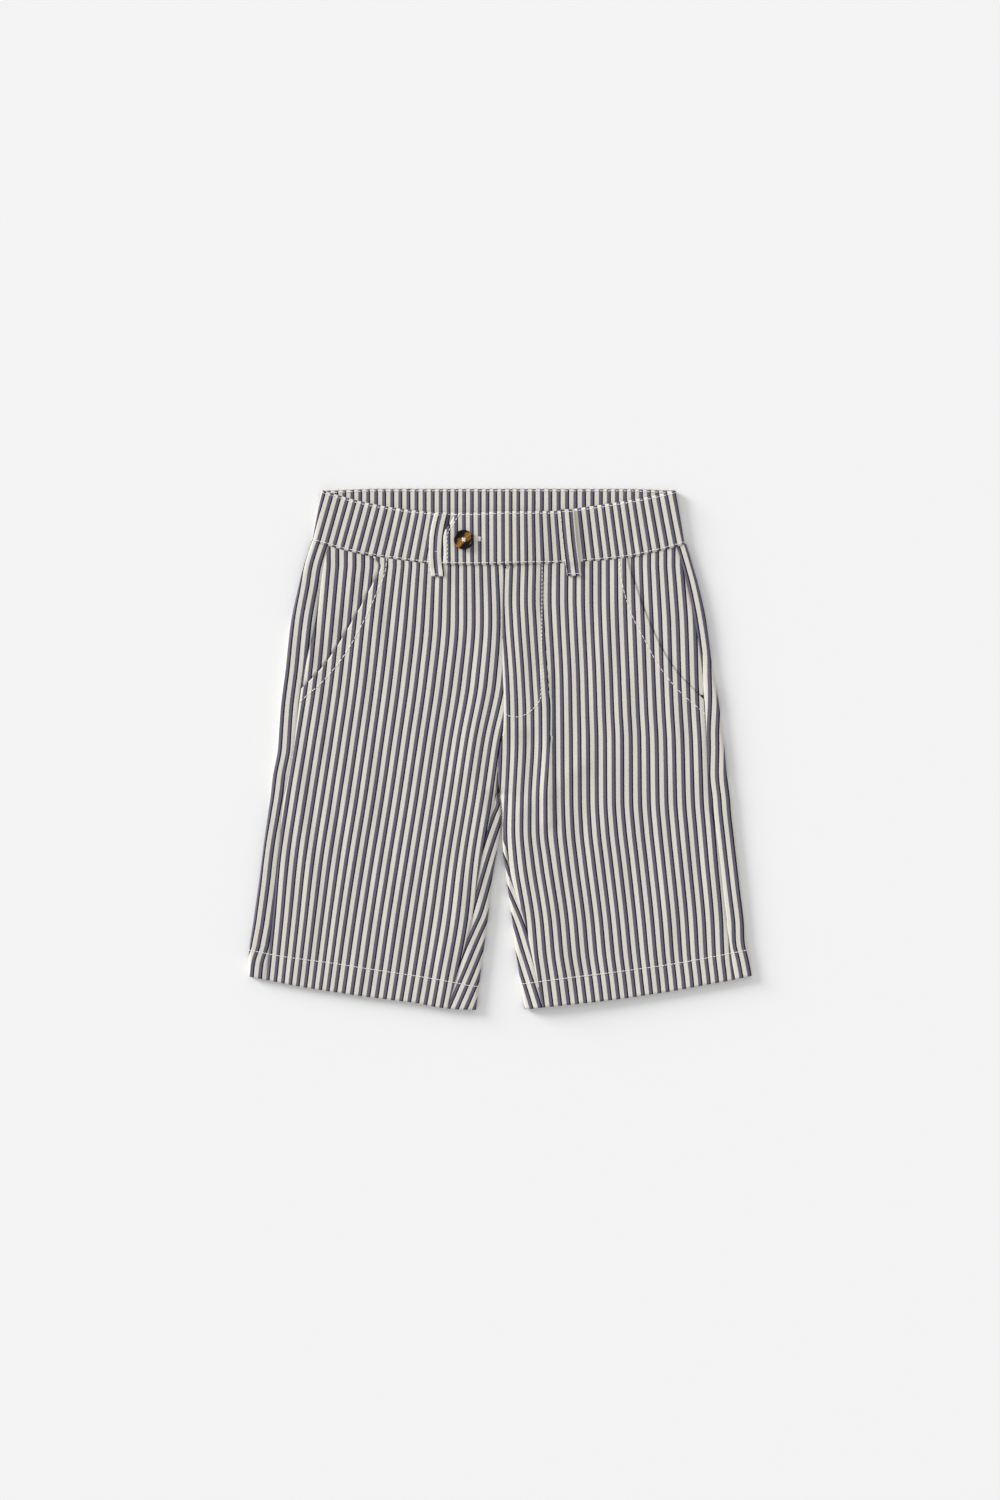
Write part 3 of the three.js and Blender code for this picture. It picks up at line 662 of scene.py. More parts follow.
def hem_share(x, y):
    return smooth(0.6, -0.2, y - hem_stitch(x))


def cloth_v(y):
    return y / STRIPE


def front_panel(leg):
    share = np.linspace(0, 1, FRONT_COLUMNS)[None, :]

    def place(y):
        underlap = FLY_UNDERLAP * smooth(FLY_FOOT, FLY_FOOT + 12, y) if leg.sign < 0 else 0
        inner = leg.centre(y) + leg.sign * SEAM_GAP / 2 + underlap
        outer = np.minimum(np.abs(leg.pocket(y)), np.abs(leg.side(y))) - SEAM_GAP / 2
        return mix(inner, leg.sign * outer, share)

    down = np.broadcast_to(DOWN, (PANEL_ROWS, FRONT_COLUMNS))
    y = height_of(down, place, lambda x, y: front_seam(x))
    x = place(y)
    mid = np.stack([x, y, surface(leg, x, y)], axis=2)
    thick = mix(THIN, HEM_THICK, hem_share(x, y))
    u = front_grain(leg, x, y)
    return shell(f"front_{leg.name}_cloth", mid, (0, 0, 1), CLOTH, thick, u, cloth_v(y))


def back_panel(leg):
    wrap = np.linspace(0, 1, WRAP_COLUMNS)
    columns = 2 * WRAP_COLUMNS + FLOOR_COLUMNS
    width = abs(leg.outer(CROTCH) - leg.inner(CROTCH))
    turns = round(float(inner_grain(leg, 0, CROTCH) - outer_grain(leg, -width, CROTCH)))

    def place(y):
        inner = [wrap_point(leg, y[:, c], "inner", wrap[WRAP_COLUMNS - 1 - c]) for c in range(WRAP_COLUMNS)]
        first = columns - WRAP_COLUMNS
        outer = [wrap_point(leg, y[:, first + c], "outer", wrap[c]) for c in range(WRAP_COLUMNS)]
        floor = []
        for c in range(FLOOR_COLUMNS):
            at = y[:, WRAP_COLUMNS + c]
            start_x, z, start_way = wrap_point(leg, at, "inner", 0.0)
            end_x, _, end_way = wrap_point(leg, at, "outer", 0.0)
            share = (c + 1) / (FLOOR_COLUMNS + 1)
            near = inner_grain(leg, start_way, at) - turns
            count = mix(near, outer_grain(leg, end_way, at), share)
            floor.append((mix(start_x, end_x, share), np.full(len(at), BACK_HEIGHT), count))
        full = [
            (x, z, inner_grain(leg, way, y[:, c]) - turns) for c, (x, z, way) in enumerate(inner)
        ]
        full += floor
        full += [
            (x, z, outer_grain(leg, way, y[:, first + c])) for c, (x, z, way) in enumerate(outer)
        ]
        return [np.stack([part[i] for part in full], axis=1) for i in range(3)]

    ones = np.ones((PANEL_ROWS, 1))
    inner_turn = np.minimum(1, wrap[::-1] / BEND_SHARE)[None, :] * ones
    outer_turn = np.minimum(1, wrap / BEND_SHARE)[None, :] * ones
    flat = np.zeros((PANEL_ROWS, FLOOR_COLUMNS))

    def top_at(x, y):
        roll = inner_roll(y[:, :WRAP_COLUMNS])
        turned = np.concatenate([inner_turn * roll, flat, outer_turn], axis=1)
        return mix(back_seam(x), front_seam(x), turned)

    down = np.broadcast_to(DOWN, (PANEL_ROWS, columns))
    y = height_of(down, lambda at: place(at)[0], top_at)
    x, z, u = place(y)
    mid = np.stack([x, y, z], axis=2)
    thick = mix(THIN, HEM_THICK, hem_share(x, y))
    return shell(f"back_{leg.name}_cloth", mid, (0, 0, -1), CLOTH, thick, u, cloth_v(y))


# How far the stripes of each pocket facing are moved out against those of its front
FACING_SHIFT = {"right": 2.0, "left": 0.3}
FACING_DROP = 0.8
MOUTH_TROUGH = SimpleNamespace(at=0.4, width=0.7, depth={"right": 1.1, "left": 0.45})


def pocket_facing(leg):
    rows, columns = 70, 44
    share = np.linspace(0, 1, columns)[None, :] * np.ones((rows, 1))
    down = np.linspace(0, 1, rows)[:, None] * np.ones((1, columns))

    def place(y):
        mouth, side = np.abs(leg.pocket(y)), np.abs(leg.side(y)) - SEAM_GAP / 2
        outer = mix(side, side - 2.5, smooth(0, 6, mouth - side + 3))
        inner = np.minimum(mouth, side) - FACING_UNDERLAP
        return leg.sign * mix(inner, outer, share)

    y = mix(155.0, POCKET_FOOT, down)
    for _ in range(8):
        x = place(y)
        y = mix(front_seam(x) - SEAM_GAP, POCKET_FOOT, down)
    shown = np.abs(x) - np.abs(leg.pocket(y))
    drop = FACING_DROP * (1 - 0.8 * smooth(2, 16, shown))
    trough = MOUTH_TROUGH.depth[leg.name] * np.exp(-(((shown - MOUTH_TROUGH.at) / MOUTH_TROUGH.width) ** 2))
    mid = np.stack([x, y, surface(leg, x, y) - drop - trough], axis=2)
    u = front_grain(leg, x - FACING_SHIFT[leg.name], y)
    return shell(f"pocket_facing_{leg.name}_cloth", mid, (0, 0, 1), CLOTH, THIN, u, cloth_v(y))


def band_path():
    """Stations round the waistband: x, z, top and seam heights, and the number of the part they lie on."""
    right, left = BAND_FRONT[0]["x"], BAND_FRONT[-1]["x"]
    inset = BAND_ROLL + BAND_CLOTH / 2
    front_x = np.linspace(BAND_UNDERLAP_END, right + inset, 90)
    turn = np.linspace(math.pi / 2, -math.pi / 2, 14)[1:-1]
    back_x = np.linspace(right + inset, left - inset, 120)
    over_x = np.linspace(left - inset, TAB_ROOT, 110)
    climb = (TAB_HEIGHT - BAND_FRONT_HEIGHT) * (1 - smooth(TAB_FULL, TAB_RAMP, over_x))

    def stations(x, z, top, seam, part):
        return np.stack([x, np.broadcast_to(z, x.shape), top, seam, np.full(x.shape, part)], axis=1)

    def side(sign, corner, angles, part):
        x = corner - sign * (inset - BAND_ROLL * np.cos(angles))
        z = BAND_BACK_HEIGHT + BAND_ROLL + BAND_ROLL * np.sin(angles)
        edge = np.ones(x.shape)
        return stations(x, z, front_top(corner) * edge, front_seam_on_top(corner) * edge, part)

    return np.concatenate([
        stations(front_x, BAND_FRONT_HEIGHT, front_top(front_x), front_seam_on_top(front_x), 0),
        side(-1, right, turn, 1),
        stations(back_x, BAND_BACK_HEIGHT, back_top(back_x), back_seam(back_x), 2),
        side(1, left, -turn, 3),
        stations(over_x, BAND_FRONT_HEIGHT + climb, front_top(over_x), front_seam_on_top(over_x), 4),
    ])


BAND_ROWS = 28
TAB_COLUMNS = 22


def band_count(rows, x, down):
    """Stripes counted across the band's front at points x, whose rows are a share of the way down."""
    count = np.zeros(x.shape)
    numbers = np.array([row["stripe"] for row in rows], float)
    for i, share in enumerate(down[:, 0]):
        places = np.array([mix(row["top"], row["seam"], share) for row in rows])
        order = np.argsort(places)
        count[i] = np.interp(x[i], places[order], numbers[order])
    return count


def waistband():
    path = band_path()
    down = np.linspace(0, 1, BAND_ROWS)[:, None]
    x = mix(path[:, 0], slant(path[:, 0]), down)
    y = mix(path[:, 2], path[:, 3], down)
    z = np.broadcast_to(path[:, 1], x.shape)
    tab_share = np.linspace(0, 1, TAB_COLUMNS + 1)[None, 1:]
    tab_x = mix(TAB_ROOT, tab_end(down), tab_share)
    tab_y = mix(front_top(tab_x), front_seam_on_top(tab_x), down)
    x = np.concatenate([x, tab_x], axis=1)
    y = np.concatenate([y, tab_y], axis=1)
    z = np.concatenate([z, np.full(tab_x.shape, TAB_HEIGHT)], axis=1)
    part = np.concatenate([path[:, 4], np.full(TAB_COLUMNS, 4)])
    step = np.hypot(np.diff(path[:, 0]), np.diff(path[:, 1]))
    step[np.isin(path[1:, 4], (1, 3))] *= 1 + BAND_CLOTH / 2 / BAND_ROLL
    way = np.concatenate([[0], np.cumsum(step), np.full(TAB_COLUMNS, step.sum())])
    right_end = np.argmax(part == 1)
    left_end = np.argmax(part == 4)
    right_front = band_count(RIGHT_BAND_GRAIN, x, down)
    left_front = band_count(LEFT_BAND_GRAIN, x, down)
    right_count, left_count = right_front[:, right_end - 1], left_front[:, left_end]
    turns = np.round((way[left_end] - way[right_end - 1]) / BAND_STRIPE)
    share = (way - way[right_end - 1]) / (way[left_end] - way[right_end - 1])
    round_back = mix(right_count[:, None], left_count[:, None] - turns, share[None, :])
    u = np.where(part == 0, right_front, round_back)
    u = np.where(part == 4, left_front - turns, u)
    inner_u = np.interp(
        x, [row["x"] for row in BACK_BAND_GRAIN], [float(row["stripe"]) for row in BACK_BAND_GRAIN]
    )
    mid = np.stack([x, y, z + band_relief(x, y, part, down)], axis=2)
    return shell("waistband_cloth", mid, (0, 0, -1), BAND_CLOTH, BAND_CLOTH, u, cloth_v(y), inner_u)


BAND_DENTS = table("x y wide high depth", (-87, 160, 9, 6, 0.5), (97, 158, 7, 7, 0.4))
PRESSED_EDGE = SimpleNamespace(depth=0.45, width=1.4)


def band_relief(x, y, part, down):
    """Shallow dents and waves on the front of the band, none on its back."""
    front = np.where((part == 0) | (part == 4), 1.0, 0.0)
    dents = np.zeros(x.shape)
    for dent in BAND_DENTS:
        away = ((x - dent["x"]) / dent["wide"]) ** 2 + ((y - dent["y"]) / dent["high"]) ** 2
        dents = dents - dent["depth"] * np.exp(-away)
    near_side = smooth(136, 122, np.abs(x))
    from_edge = np.minimum(down, 1 - down) * np.abs(BAND_BACK_TOP - BAND_BACK_SEAM)
    pressed = -PRESSED_EDGE.depth * np.exp(-((from_edge / PRESSED_EDGE.width) ** 2))
    return front * near_side * (pressed + dents + 0.6 * waves(1.6 * x + 40, y))


def belt_loop(name, loop):
    leg = LEGS["left" if loop.sign > 0 else "right"]
    rows, columns = 70, 14
    across = np.linspace(-1, 1, columns)[None, :] * np.ones((rows, 1))
    down = np.linspace(0, 1, rows)[:, None] * np.ones((1, columns))
    y = mix(loop.line[0]["y"], loop.line[-1]["y"], down)
    x = curve(loop.line, "x")(y) + across * loop.width / 2
    over_band = BAND_FRONT_HEIGHT + BAND_CLOTH / 2
    over_front = surface(leg, x, y) + CLOTH / 2
    on_front = smooth(1, -5, y - front_seam(x))
    under = mix(over_band, np.maximum(over_front, over_band - LOOP_STEP), on_front)
    bow = LOOP_BOW * np.sin(math.pi * np.minimum(1, down / LOOP_BOW_END)) * (1 - on_front)
    roundness = -LOOP_EDGE_DROP * across**4
    z = under + LAYER_GAP + LOOP_CLOTH / 2 + np.maximum(0, bow) + roundness
    u = -(across * loop.width / 2 - loop.stripe) / LOOP_STRIPE
    mid = np.stack([x, y, z], axis=2)
    return shell(f"{name}_cloth", mid, (0, 0, 1), LOOP_CLOTH, LOOP_CLOTH, u, cloth_v(y))


def new_group(name, inputs, outputs):
    group = bpy.data.node_groups.new(name, "ShaderNodeTree")
    for label, kind, value in inputs:
        socket = group.interface.new_socket(name=label, in_out="INPUT", socket_type=kind)
        if value is not None:
            socket.default_value = value
    for label, kind in outputs:
        group.interface.new_socket(name=label, in_out="OUTPUT", socket_type=kind)
    return group, group.nodes.new("NodeGroupInput"), group.nodes.new("NodeGroupOutput")


def math_node(tree, operation, *values):
    node = tree.nodes.new("ShaderNodeMath")
    node.operation = operation
    for socket, value in zip(node.inputs, values):
        if hasattr(value, "is_output"):
            tree.links.new(value, socket)
        else:
            socket.default_value = value
    return node.outputs[0]


def ramp_node(tree, source, stops, interpolation="LINEAR"):
    node = tree.nodes.new("ShaderNodeValToRGB")
    ramp = node.color_ramp
    ramp.interpolation = interpolation
    while len(ramp.elements) < len(stops):
        ramp.elements.new(0.5)
    for element, (place, colour) in zip(ramp.elements, stops):
        element.position = place
        element.color = (*colour, 1) if len(colour) == 3 else colour
    tree.links.new(source, node.inputs[0])
    return node.outputs[0]


def noise_node(tree, vector, scale, detail=2.0, stretch=(1, 1, 1)):
    mapping = tree.nodes.new("ShaderNodeMapping")
    mapping.inputs["Scale"].default_value = stretch
    tree.links.new(vector, mapping.inputs["Vector"])
    noise = tree.nodes.new("ShaderNodeTexNoise")
    noise.inputs["Scale"].default_value = scale
    noise.inputs["Detail"].default_value = detail
    tree.links.new(mapping.outputs[0], noise.inputs["Vector"])
    return noise.outputs["Fac"]


CREAM = (0.67, 0.64, 0.582)
CREAM_WARM = (0.60, 0.565, 0.495)
SLATE = (0.118, 0.112, 0.148)
BLACK = (0.012, 0.009, 0.018)

# Shares of one repeat, from the middle of its dark part
STRIPE_STOPS = [
    (0.000, SLATE),
    (0.075, SLATE),
    (0.090, BLACK),
    (0.240, BLACK),
    (0.258, CREAM),
    (0.420, CREAM),
    (0.450, CREAM_WARM),
    (0.480, CREAM),
    (0.740, CREAM),
    (0.758, SLATE),
    (1.000, SLATE),
]

DARK_HERE, CREAM_HERE = (0, 0, 0), (1, 1, 1)
CREAM_STOPS = [(0.24, DARK_HERE), (0.29, CREAM_HERE), (0.71, CREAM_HERE), (0.76, DARK_HERE)]
THREAD_STOPS = [(0.3, (0.72, 0.70, 0.64)), (0.7, (0.88, 0.86, 0.80))]
HORN_STOPS = [
    (0.00, (0.004, 0.002, 0.002)),
    (0.20, (0.012, 0.006, 0.003)),
    (0.34, (0.10, 0.042, 0.008)),
    (0.52, (0.34, 0.155, 0.028)),
]


def stripe_group():
    """Colour of the striped cotton: warp stripes, weft showing through, slubs and fine yarns."""
    group, start, end = new_group(
        "striped cotton",
        [("Cloth", "NodeSocketVector", None)],
        [("Colour", "NodeSocketColor"), ("Height", "NodeSocketFloat"), ("Cream", "NodeSocketFloat")],
    )
    split = group.nodes.new("ShaderNodeSeparateXYZ")
    group.links.new(start.outputs["Cloth"], split.inputs[0])
    cloth = start.outputs["Cloth"]
    wobble = noise_node(group, cloth, 3.0, 2.0, (0.6, 1.6, 1))
    drift = math_node(group, "MULTIPLY", math_node(group, "SUBTRACT", wobble, 0.5), 0.06)
    across = math_node(group, "ADD", split.outputs[0], drift)
    share = math_node(group, "FRACT", across)
    stripes = ramp_node(group, share, STRIPE_STOPS)
    warp = noise_node(group, cloth, 26.0, 1.0, (1, 0.06, 1))
    weft = noise_node(group, cloth, 24.0, 1.0, (0.09, 1, 1))
    fleck = noise_node(group, cloth, 14.0, 3.0, (1.2, 0.6, 1))
    warp_share = math_node(group, "MULTIPLY", warp, 0.55)
    weft_share = math_node(group, "MULTIPLY", weft, 0.45)
    yarns = math_node(group, "ADD", warp_share, weft_share)
    tone = math_node(group, "ADD", math_node(group, "MULTIPLY", yarns, 0.34), 0.83)
    mottle = math_node(group, "ADD", math_node(group, "MULTIPLY", fleck, 0.22), 0.89)
    value = math_node(group, "MULTIPLY", tone, mottle)
    shade = group.nodes.new("ShaderNodeMix")
    shade.data_type = "RGBA"
    shade.blend_type = "MULTIPLY"
    shade.inputs["Factor"].default_value = 1.0
    group.links.new(stripes, shade.inputs["A"])
    grey = group.nodes.new("ShaderNodeCombineColor")
    for socket in grey.inputs[:3]:
        group.links.new(value, socket)
    group.links.new(grey.outputs[0], shade.inputs["B"])
    group.links.new(shade.outputs["Result"], end.inputs["Colour"])
    cream = ramp_node(group, share, CREAM_STOPS)
    group.links.new(cream, end.inputs["Cream"])
    pucker = noise_node(group, cloth, 5.0, 2.0, (0.5, 2.2, 1))
    crimp = math_node(group, "MULTIPLY", math_node(group, "MULTIPLY", pucker, cream), 0.8)
    height = math_node(group, "ADD", math_node(group, "MULTIPLY", yarns, 0.35), crimp)
    group.links.new(height, end.inputs["Height"])
    return group


STRIPED = stripe_group()


def cloth_material():
    material = bpy.data.materials.new("striped_cotton")
    material.use_nodes = True
    tree = material.node_tree
    shader = tree.nodes["Principled BSDF"]
    cloth = tree.nodes.new("ShaderNodeUVMap")
    cloth.uv_map = "cloth"
    stripes = tree.nodes.new("ShaderNodeGroup")
    stripes.node_tree = STRIPED
    tree.links.new(cloth.outputs[0], stripes.inputs["Cloth"])
    tree.links.new(stripes.outputs["Colour"], shader.inputs["Base Color"])
    bump = tree.nodes.new("ShaderNodeBump")
    bump.inputs["Strength"].default_value = 0.5
    bump.inputs["Distance"].default_value = 0.00025
    tree.links.new(stripes.outputs["Height"], bump.inputs["Height"])
    tree.links.new(bump.outputs[0], shader.inputs["Normal"])
    shader.inputs["Roughness"].default_value = 0.85
    shader.inputs["Sheen Weight"].default_value = 0.05
    shader.inputs["Sheen Roughness"].default_value = 0.5
    shader.inputs["Specular IOR Level"].default_value = 0.15
    return material


def thread_material():
    material = bpy.data.materials.new("cream_thread")
    material.use_nodes = True
    tree = material.node_tree
    shader = tree.nodes["Principled BSDF"]
    place = tree.nodes.new("ShaderNodeTexCoord")
    twist = noise_node(tree, place.outputs["Object"], 2200.0, 2.0)
    tree.links.new(ramp_node(tree, twist, THREAD_STOPS), shader.inputs["Base Color"])
    shader.inputs["Roughness"].default_value = 0.6
    return material


def horn_material():
    material = bpy.data.materials.new("horn")
    material.use_nodes = True
    tree = material.node_tree
    shader = tree.nodes["Principled BSDF"]
    place = tree.nodes.new("ShaderNodeTexCoord")
    mapping = tree.nodes.new("ShaderNodeMapping")
    mapping.inputs["Location"].default_value = (-BUTTON.x * MM, -BUTTON.y * MM, 0)
    tree.links.new(place.outputs["Object"], mapping.inputs["Vector"])
    turned = tree.nodes.new("ShaderNodeMapping")
    turned.inputs["Rotation"].default_value = (0, 0, math.radians(-44))
    tree.links.new(mapping.outputs[0], turned.inputs["Vector"])
    clouds = noise_node(tree, turned.outputs[0], 330.0, 3.0, (0.45, 1.0, 1.0))
    split = tree.nodes.new("ShaderNodeSeparateXYZ")
    tree.links.new(turned.outputs[0], split.inputs[0])
    band = math_node(tree, "MULTIPLY", math_node(tree, "ABSOLUTE", split.outputs[1]), 190.0)
    blotches = math_node(tree, "MULTIPLY", math_node(tree, "SUBTRACT", clouds, 0.5), 1.9)
    amber = math_node(tree, "SUBTRACT", math_node(tree, "ADD", blotches, 0.62), band)
    colour = ramp_node(tree, amber, HORN_STOPS)
    tree.links.new(colour, shader.inputs["Base Color"])
    shader.inputs["Roughness"].default_value = 0.22
    shader.inputs["Specular IOR Level"].default_value = 0.16
    return material


COTTON = cloth_material()
THREAD = thread_material()
HORN = horn_material()


def finish_piece(piece, node, material):
    piece.data.materials.clear()
    piece.data.materials.append(material)
    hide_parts(node)
    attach(piece, "root")


def button():
    """The button is turned to a rim round a shallow dish, and has four holes through it."""
    b = BUTTON
    profile = [
        (0.0, 0.0), (b.radius - 1.3, 0.0), (b.radius - 0.5, 0.25), (b.radius - 0.1, 0.8),
        (b.radius, b.thick / 2), (b.radius - 0.1, b.thick - 0.8), (b.radius - 0.4, b.thick - 0.25),
        (b.radius - 0.8, b.thick), (b.radius - 1.2, b.thick - 0.05), (b.radius - 1.7, b.thick - 0.35),
        (b.radius - 2.2, b.thick - 0.68), (b.radius - 2.9, b.thick - b.dish), (0.0, b.thick - b.dish),
    ]
    turns = 72
    points = [(0, 0, 0)]
    for radius, height in profile[1:-1]:
        for step in range(turns):
            angle = 2 * math.pi * step / turns
            points.append((radius * math.cos(angle), radius * math.sin(angle), height))
    points.append((0, 0, profile[-1][1]))
    rings = len(profile) - 2
    faces = []
    for step in range(turns):
        after = (step + 1) % turns
        faces.append((0, 1 + after, 1 + step))
        for ring in range(rings - 1):
            low, high = 1 + ring * turns, 1 + (ring + 1) * turns
            faces.append((low + step, low + after, high + after, high + step))
        last = 1 + (rings - 1) * turns
        faces.append((last + step, last + after, len(points) - 1))
    base = np.array([b.x, b.y, TAB_HEIGHT + BAND_CLOTH / 2 + LAYER_GAP])
    mesh = bpy.data.meshes.new("button_horn")
    mesh.from_pydata(((np.array(points) + base) * MM).tolist(), [], faces)
    piece = bpy.data.objects.new("button_horn", mesh)
    bpy.context.scene.collection.objects.link(piece)
    drills = []
    for quarter in range(4):
        angle = math.pi * (0.25 + quarter / 2)
        bpy.ops.mesh.primitive_cylinder_add(
            vertices=24, radius=b.hole * MM, depth=4 * b.thick * MM,
            location=(np.array([b.pitch * math.cos(angle), b.pitch * math.sin(angle), b.thick / 2]) + base) * MM,
        )
        drill = bpy.context.object
        cut = piece.modifiers.new("hole", "BOOLEAN")
        cut.object = drill
        cut.operation = "DIFFERENCE"
        drills.append(drill)
    graph = bpy.context.evaluated_depsgraph_get()
    done = bpy.data.meshes.new_from_object(piece.evaluated_get(graph))
    piece.modifiers.clear()
    piece.data = done
    for drill in drills:
        bpy.data.objects.remove(drill)
    done.polygons.foreach_set("use_smooth", np.ones(len(done.polygons), bool))
    done.set_sharp_from_angle(angle=math.radians(40))
    return piece


def stitch_tree():
    """Geometry Nodes: one thread stitch after another along a path of edges."""
    tree = bpy.data.node_groups.new("stitch row", "GeometryNodeTree")
    tree.interface.new_socket(name="Path", in_out="INPUT", socket_type="NodeSocketGeometry")
    for label, value in (("Pitch", 0.003), ("Length", 0.0022), ("Thread", 0.0003)):
        socket = tree.interface.new_socket(name=label, in_out="INPUT", socket_type="NodeSocketFloat")
        socket.default_value = value
    tree.interface.new_socket(name="Material", in_out="INPUT", socket_type="NodeSocketMaterial")
    tree.interface.new_socket(name="Stitches", in_out="OUTPUT", socket_type="NodeSocketGeometry")
    nodes, links = tree.nodes, tree.links
    start, end = nodes.new("NodeGroupInput"), nodes.new("NodeGroupOutput")
    to_curve = nodes.new("GeometryNodeMeshToCurve")
    links.new(start.outputs["Path"], to_curve.inputs["Mesh"])
    resample = nodes.new("GeometryNodeResampleCurve")
    resample.mode = "LENGTH"
    links.new(to_curve.outputs["Curve"], resample.inputs["Curve"])
    links.new(start.outputs["Pitch"], resample.inputs["Length"])
    tangent = nodes.new("GeometryNodeInputTangent")
    align = nodes.new("FunctionNodeAlignRotationToVector")
    align.axis = "X"
    links.new(tangent.outputs["Tangent"], align.inputs["Vector"])
    ball = nodes.new("GeometryNodeMeshUVSphere")
    ball.inputs["Segments"].default_value = 8
    ball.inputs["Rings"].default_value = 6
    ball.inputs["Radius"].default_value = 0.5
    size = nodes.new("ShaderNodeCombineXYZ")
    links.new(start.outputs["Length"], size.inputs["X"])
    links.new(start.outputs["Thread"], size.inputs["Y"])
    links.new(start.outputs["Thread"], size.inputs["Z"])
    shape = nodes.new("GeometryNodeTransform")
    links.new(ball.outputs["Mesh"], shape.inputs["Geometry"])
    links.new(size.outputs[0], shape.inputs["Scale"])
    place = nodes.new("GeometryNodeInstanceOnPoints")
    links.new(resample.outputs["Curve"], place.inputs["Points"])
    links.new(shape.outputs["Geometry"], place.inputs["Instance"])
    links.new(align.outputs["Rotation"], place.inputs["Rotation"])
    realize = nodes.new("GeometryNodeRealizeInstances")
    links.new(place.outputs["Instances"], realize.inputs["Geometry"])
    paint = nodes.new("GeometryNodeSetMaterial")
    links.new(realize.outputs["Geometry"], paint.inputs["Geometry"])
    links.new(start.outputs["Material"], paint.inputs["Material"])
    links.new(paint.outputs["Geometry"], end.inputs["Stitches"])
    return tree


STITCH_TREE = stitch_tree()


def stitches(name, paths, pitch=3.0, length=2.6, thread=0.6):
    """Rows of stitches along paths of points in millimetres, as one plain mesh."""
    points, edges = [], []
    for path in paths:
        first = len(points)
        points += (np.asarray(path) * MM).tolist()
        edges += [(first + i, first + i + 1) for i in range(len(path) - 1)]
    mesh = bpy.data.meshes.new(name)
    mesh.from_pydata(points, edges, [])
    piece = bpy.data.objects.new(name, mesh)
    bpy.context.scene.collection.objects.link(piece)
    modifier = piece.modifiers.new("stitches", "NODES")
    modifier.node_group = STITCH_TREE
    values = {"Pitch": pitch * MM, "Length": length * MM, "Thread": thread * MM, "Material": THREAD}
    for item in STITCH_TREE.interface.items_tree:
        if item.in_out == "INPUT" and item.name in values:
            modifier[item.identifier] = values[item.name]
    graph = bpy.context.evaluated_depsgraph_get()
    done = bpy.data.meshes.new_from_object(piece.evaluated_get(graph))
    piece.modifiers.clear()
    piece.data = done
    done.name = name
    done.polygons.foreach_set("use_smooth", np.ones(len(done.polygons), bool))
    if not done.materials:
        done.materials.append(THREAD)
    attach(piece, "root")
    return piece


def on_grid(outer, n, row, columns=None, lift=0.06):
    """A path along a grid's row, which may lie between two rows, just proud of its face."""
    low = int(np.floor(row))
    share = row - low
    high = min(low + 1, outer.shape[0] - 1)
    places = mix(outer[low], outer[high], share) + n[low] * lift
    return places if columns is None else places[columns]


LOWEST_STITCH = 0.5
TAB_STITCH_INSET = 2.6
BAND_STITCH_SHARE = 1.3 / 39


def hem_path(outer, n, lift=0.06):
    """The points of a panel's face that lie on the hem's line of stitches."""
    above = outer[:, :, 1] - hem_stitch(outer[:, :, 0])
    row = np.argmax(above < 0, axis=0)
    columns = np.arange(outer.shape[1])
    high, low = above[row - 1, columns], above[row, columns]
    share = (high / (high - low))[:, None]
    places = mix(outer[row - 1, columns], outer[row, columns], share) + n[row, columns] * lift
    return places[places[:, 2] > LOWEST_STITCH]


def on_front(leg, points, lift=0.06):
    """A path on a front panel's face through a few points, with its height from the panel."""
    points = np.array(points, float)
    steps = np.concatenate([[0], np.cumsum(np.hypot(*np.diff(points, axis=0).T))])
    rows = [{"way": s, "x": p[0], "y": p[1]} for s, p in zip(steps, points)]
    way = np.linspace(0, steps[-1], max(12, int(steps[-1])))
    x, y = curve(rows, "x", "way")(way), curve(rows, "y", "way")(way)
    return np.stack([x, y, surface(leg, x, y) + CLOTH / 2 + lift], axis=1)


def threads(name, lines, thread=0.4):
    """Short laid threads between pairs of points in millimetres, round and tapered, as one mesh."""
    sides = 8
    stations = [(0.0, 0.25), (0.08, 0.8), (0.3, 1.0), (0.7, 1.0), (0.92, 0.8), (1.0, 0.25)]
    points, faces = [], []
    for start, end in lines:
        start, end = np.array(start, float), np.array(end, float)
        run = (end - start) / np.linalg.norm(end - start)
        side = np.cross(run, (0, 0, 1))
        side /= np.linalg.norm(side)
        up = np.cross(side, run)
        first = len(points)
        for share, size in stations:
            for step in range(sides):
                angle = 2 * math.pi * step / sides
                out = side * math.cos(angle) + up * math.sin(angle)
                points.append((mix(start, end, share) + out * size * thread / 2) * MM)
        for ring in range(len(stations) - 1):
            for step in range(sides):
                a, b = first + ring * sides + step, first + ring * sides + (step + 1) % sides
                faces.append((a, b, b + sides, a + sides))
        faces.append(tuple(range(first + sides - 1, first - 1, -1)))
        last = first + (len(stations) - 1) * sides
        faces.append(tuple(range(last, last + sides)))
    mesh = bpy.data.meshes.new(name)
    mesh.from_pydata([tuple(p) for p in points], [], faces)
    mesh.polygons.foreach_set("use_smooth", np.ones(len(faces), bool))
    mesh.materials.append(THREAD)
    piece = bpy.data.objects.new(name, mesh)
    bpy.context.scene.collection.objects.link(piece)
    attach(piece, "root")
    return piece


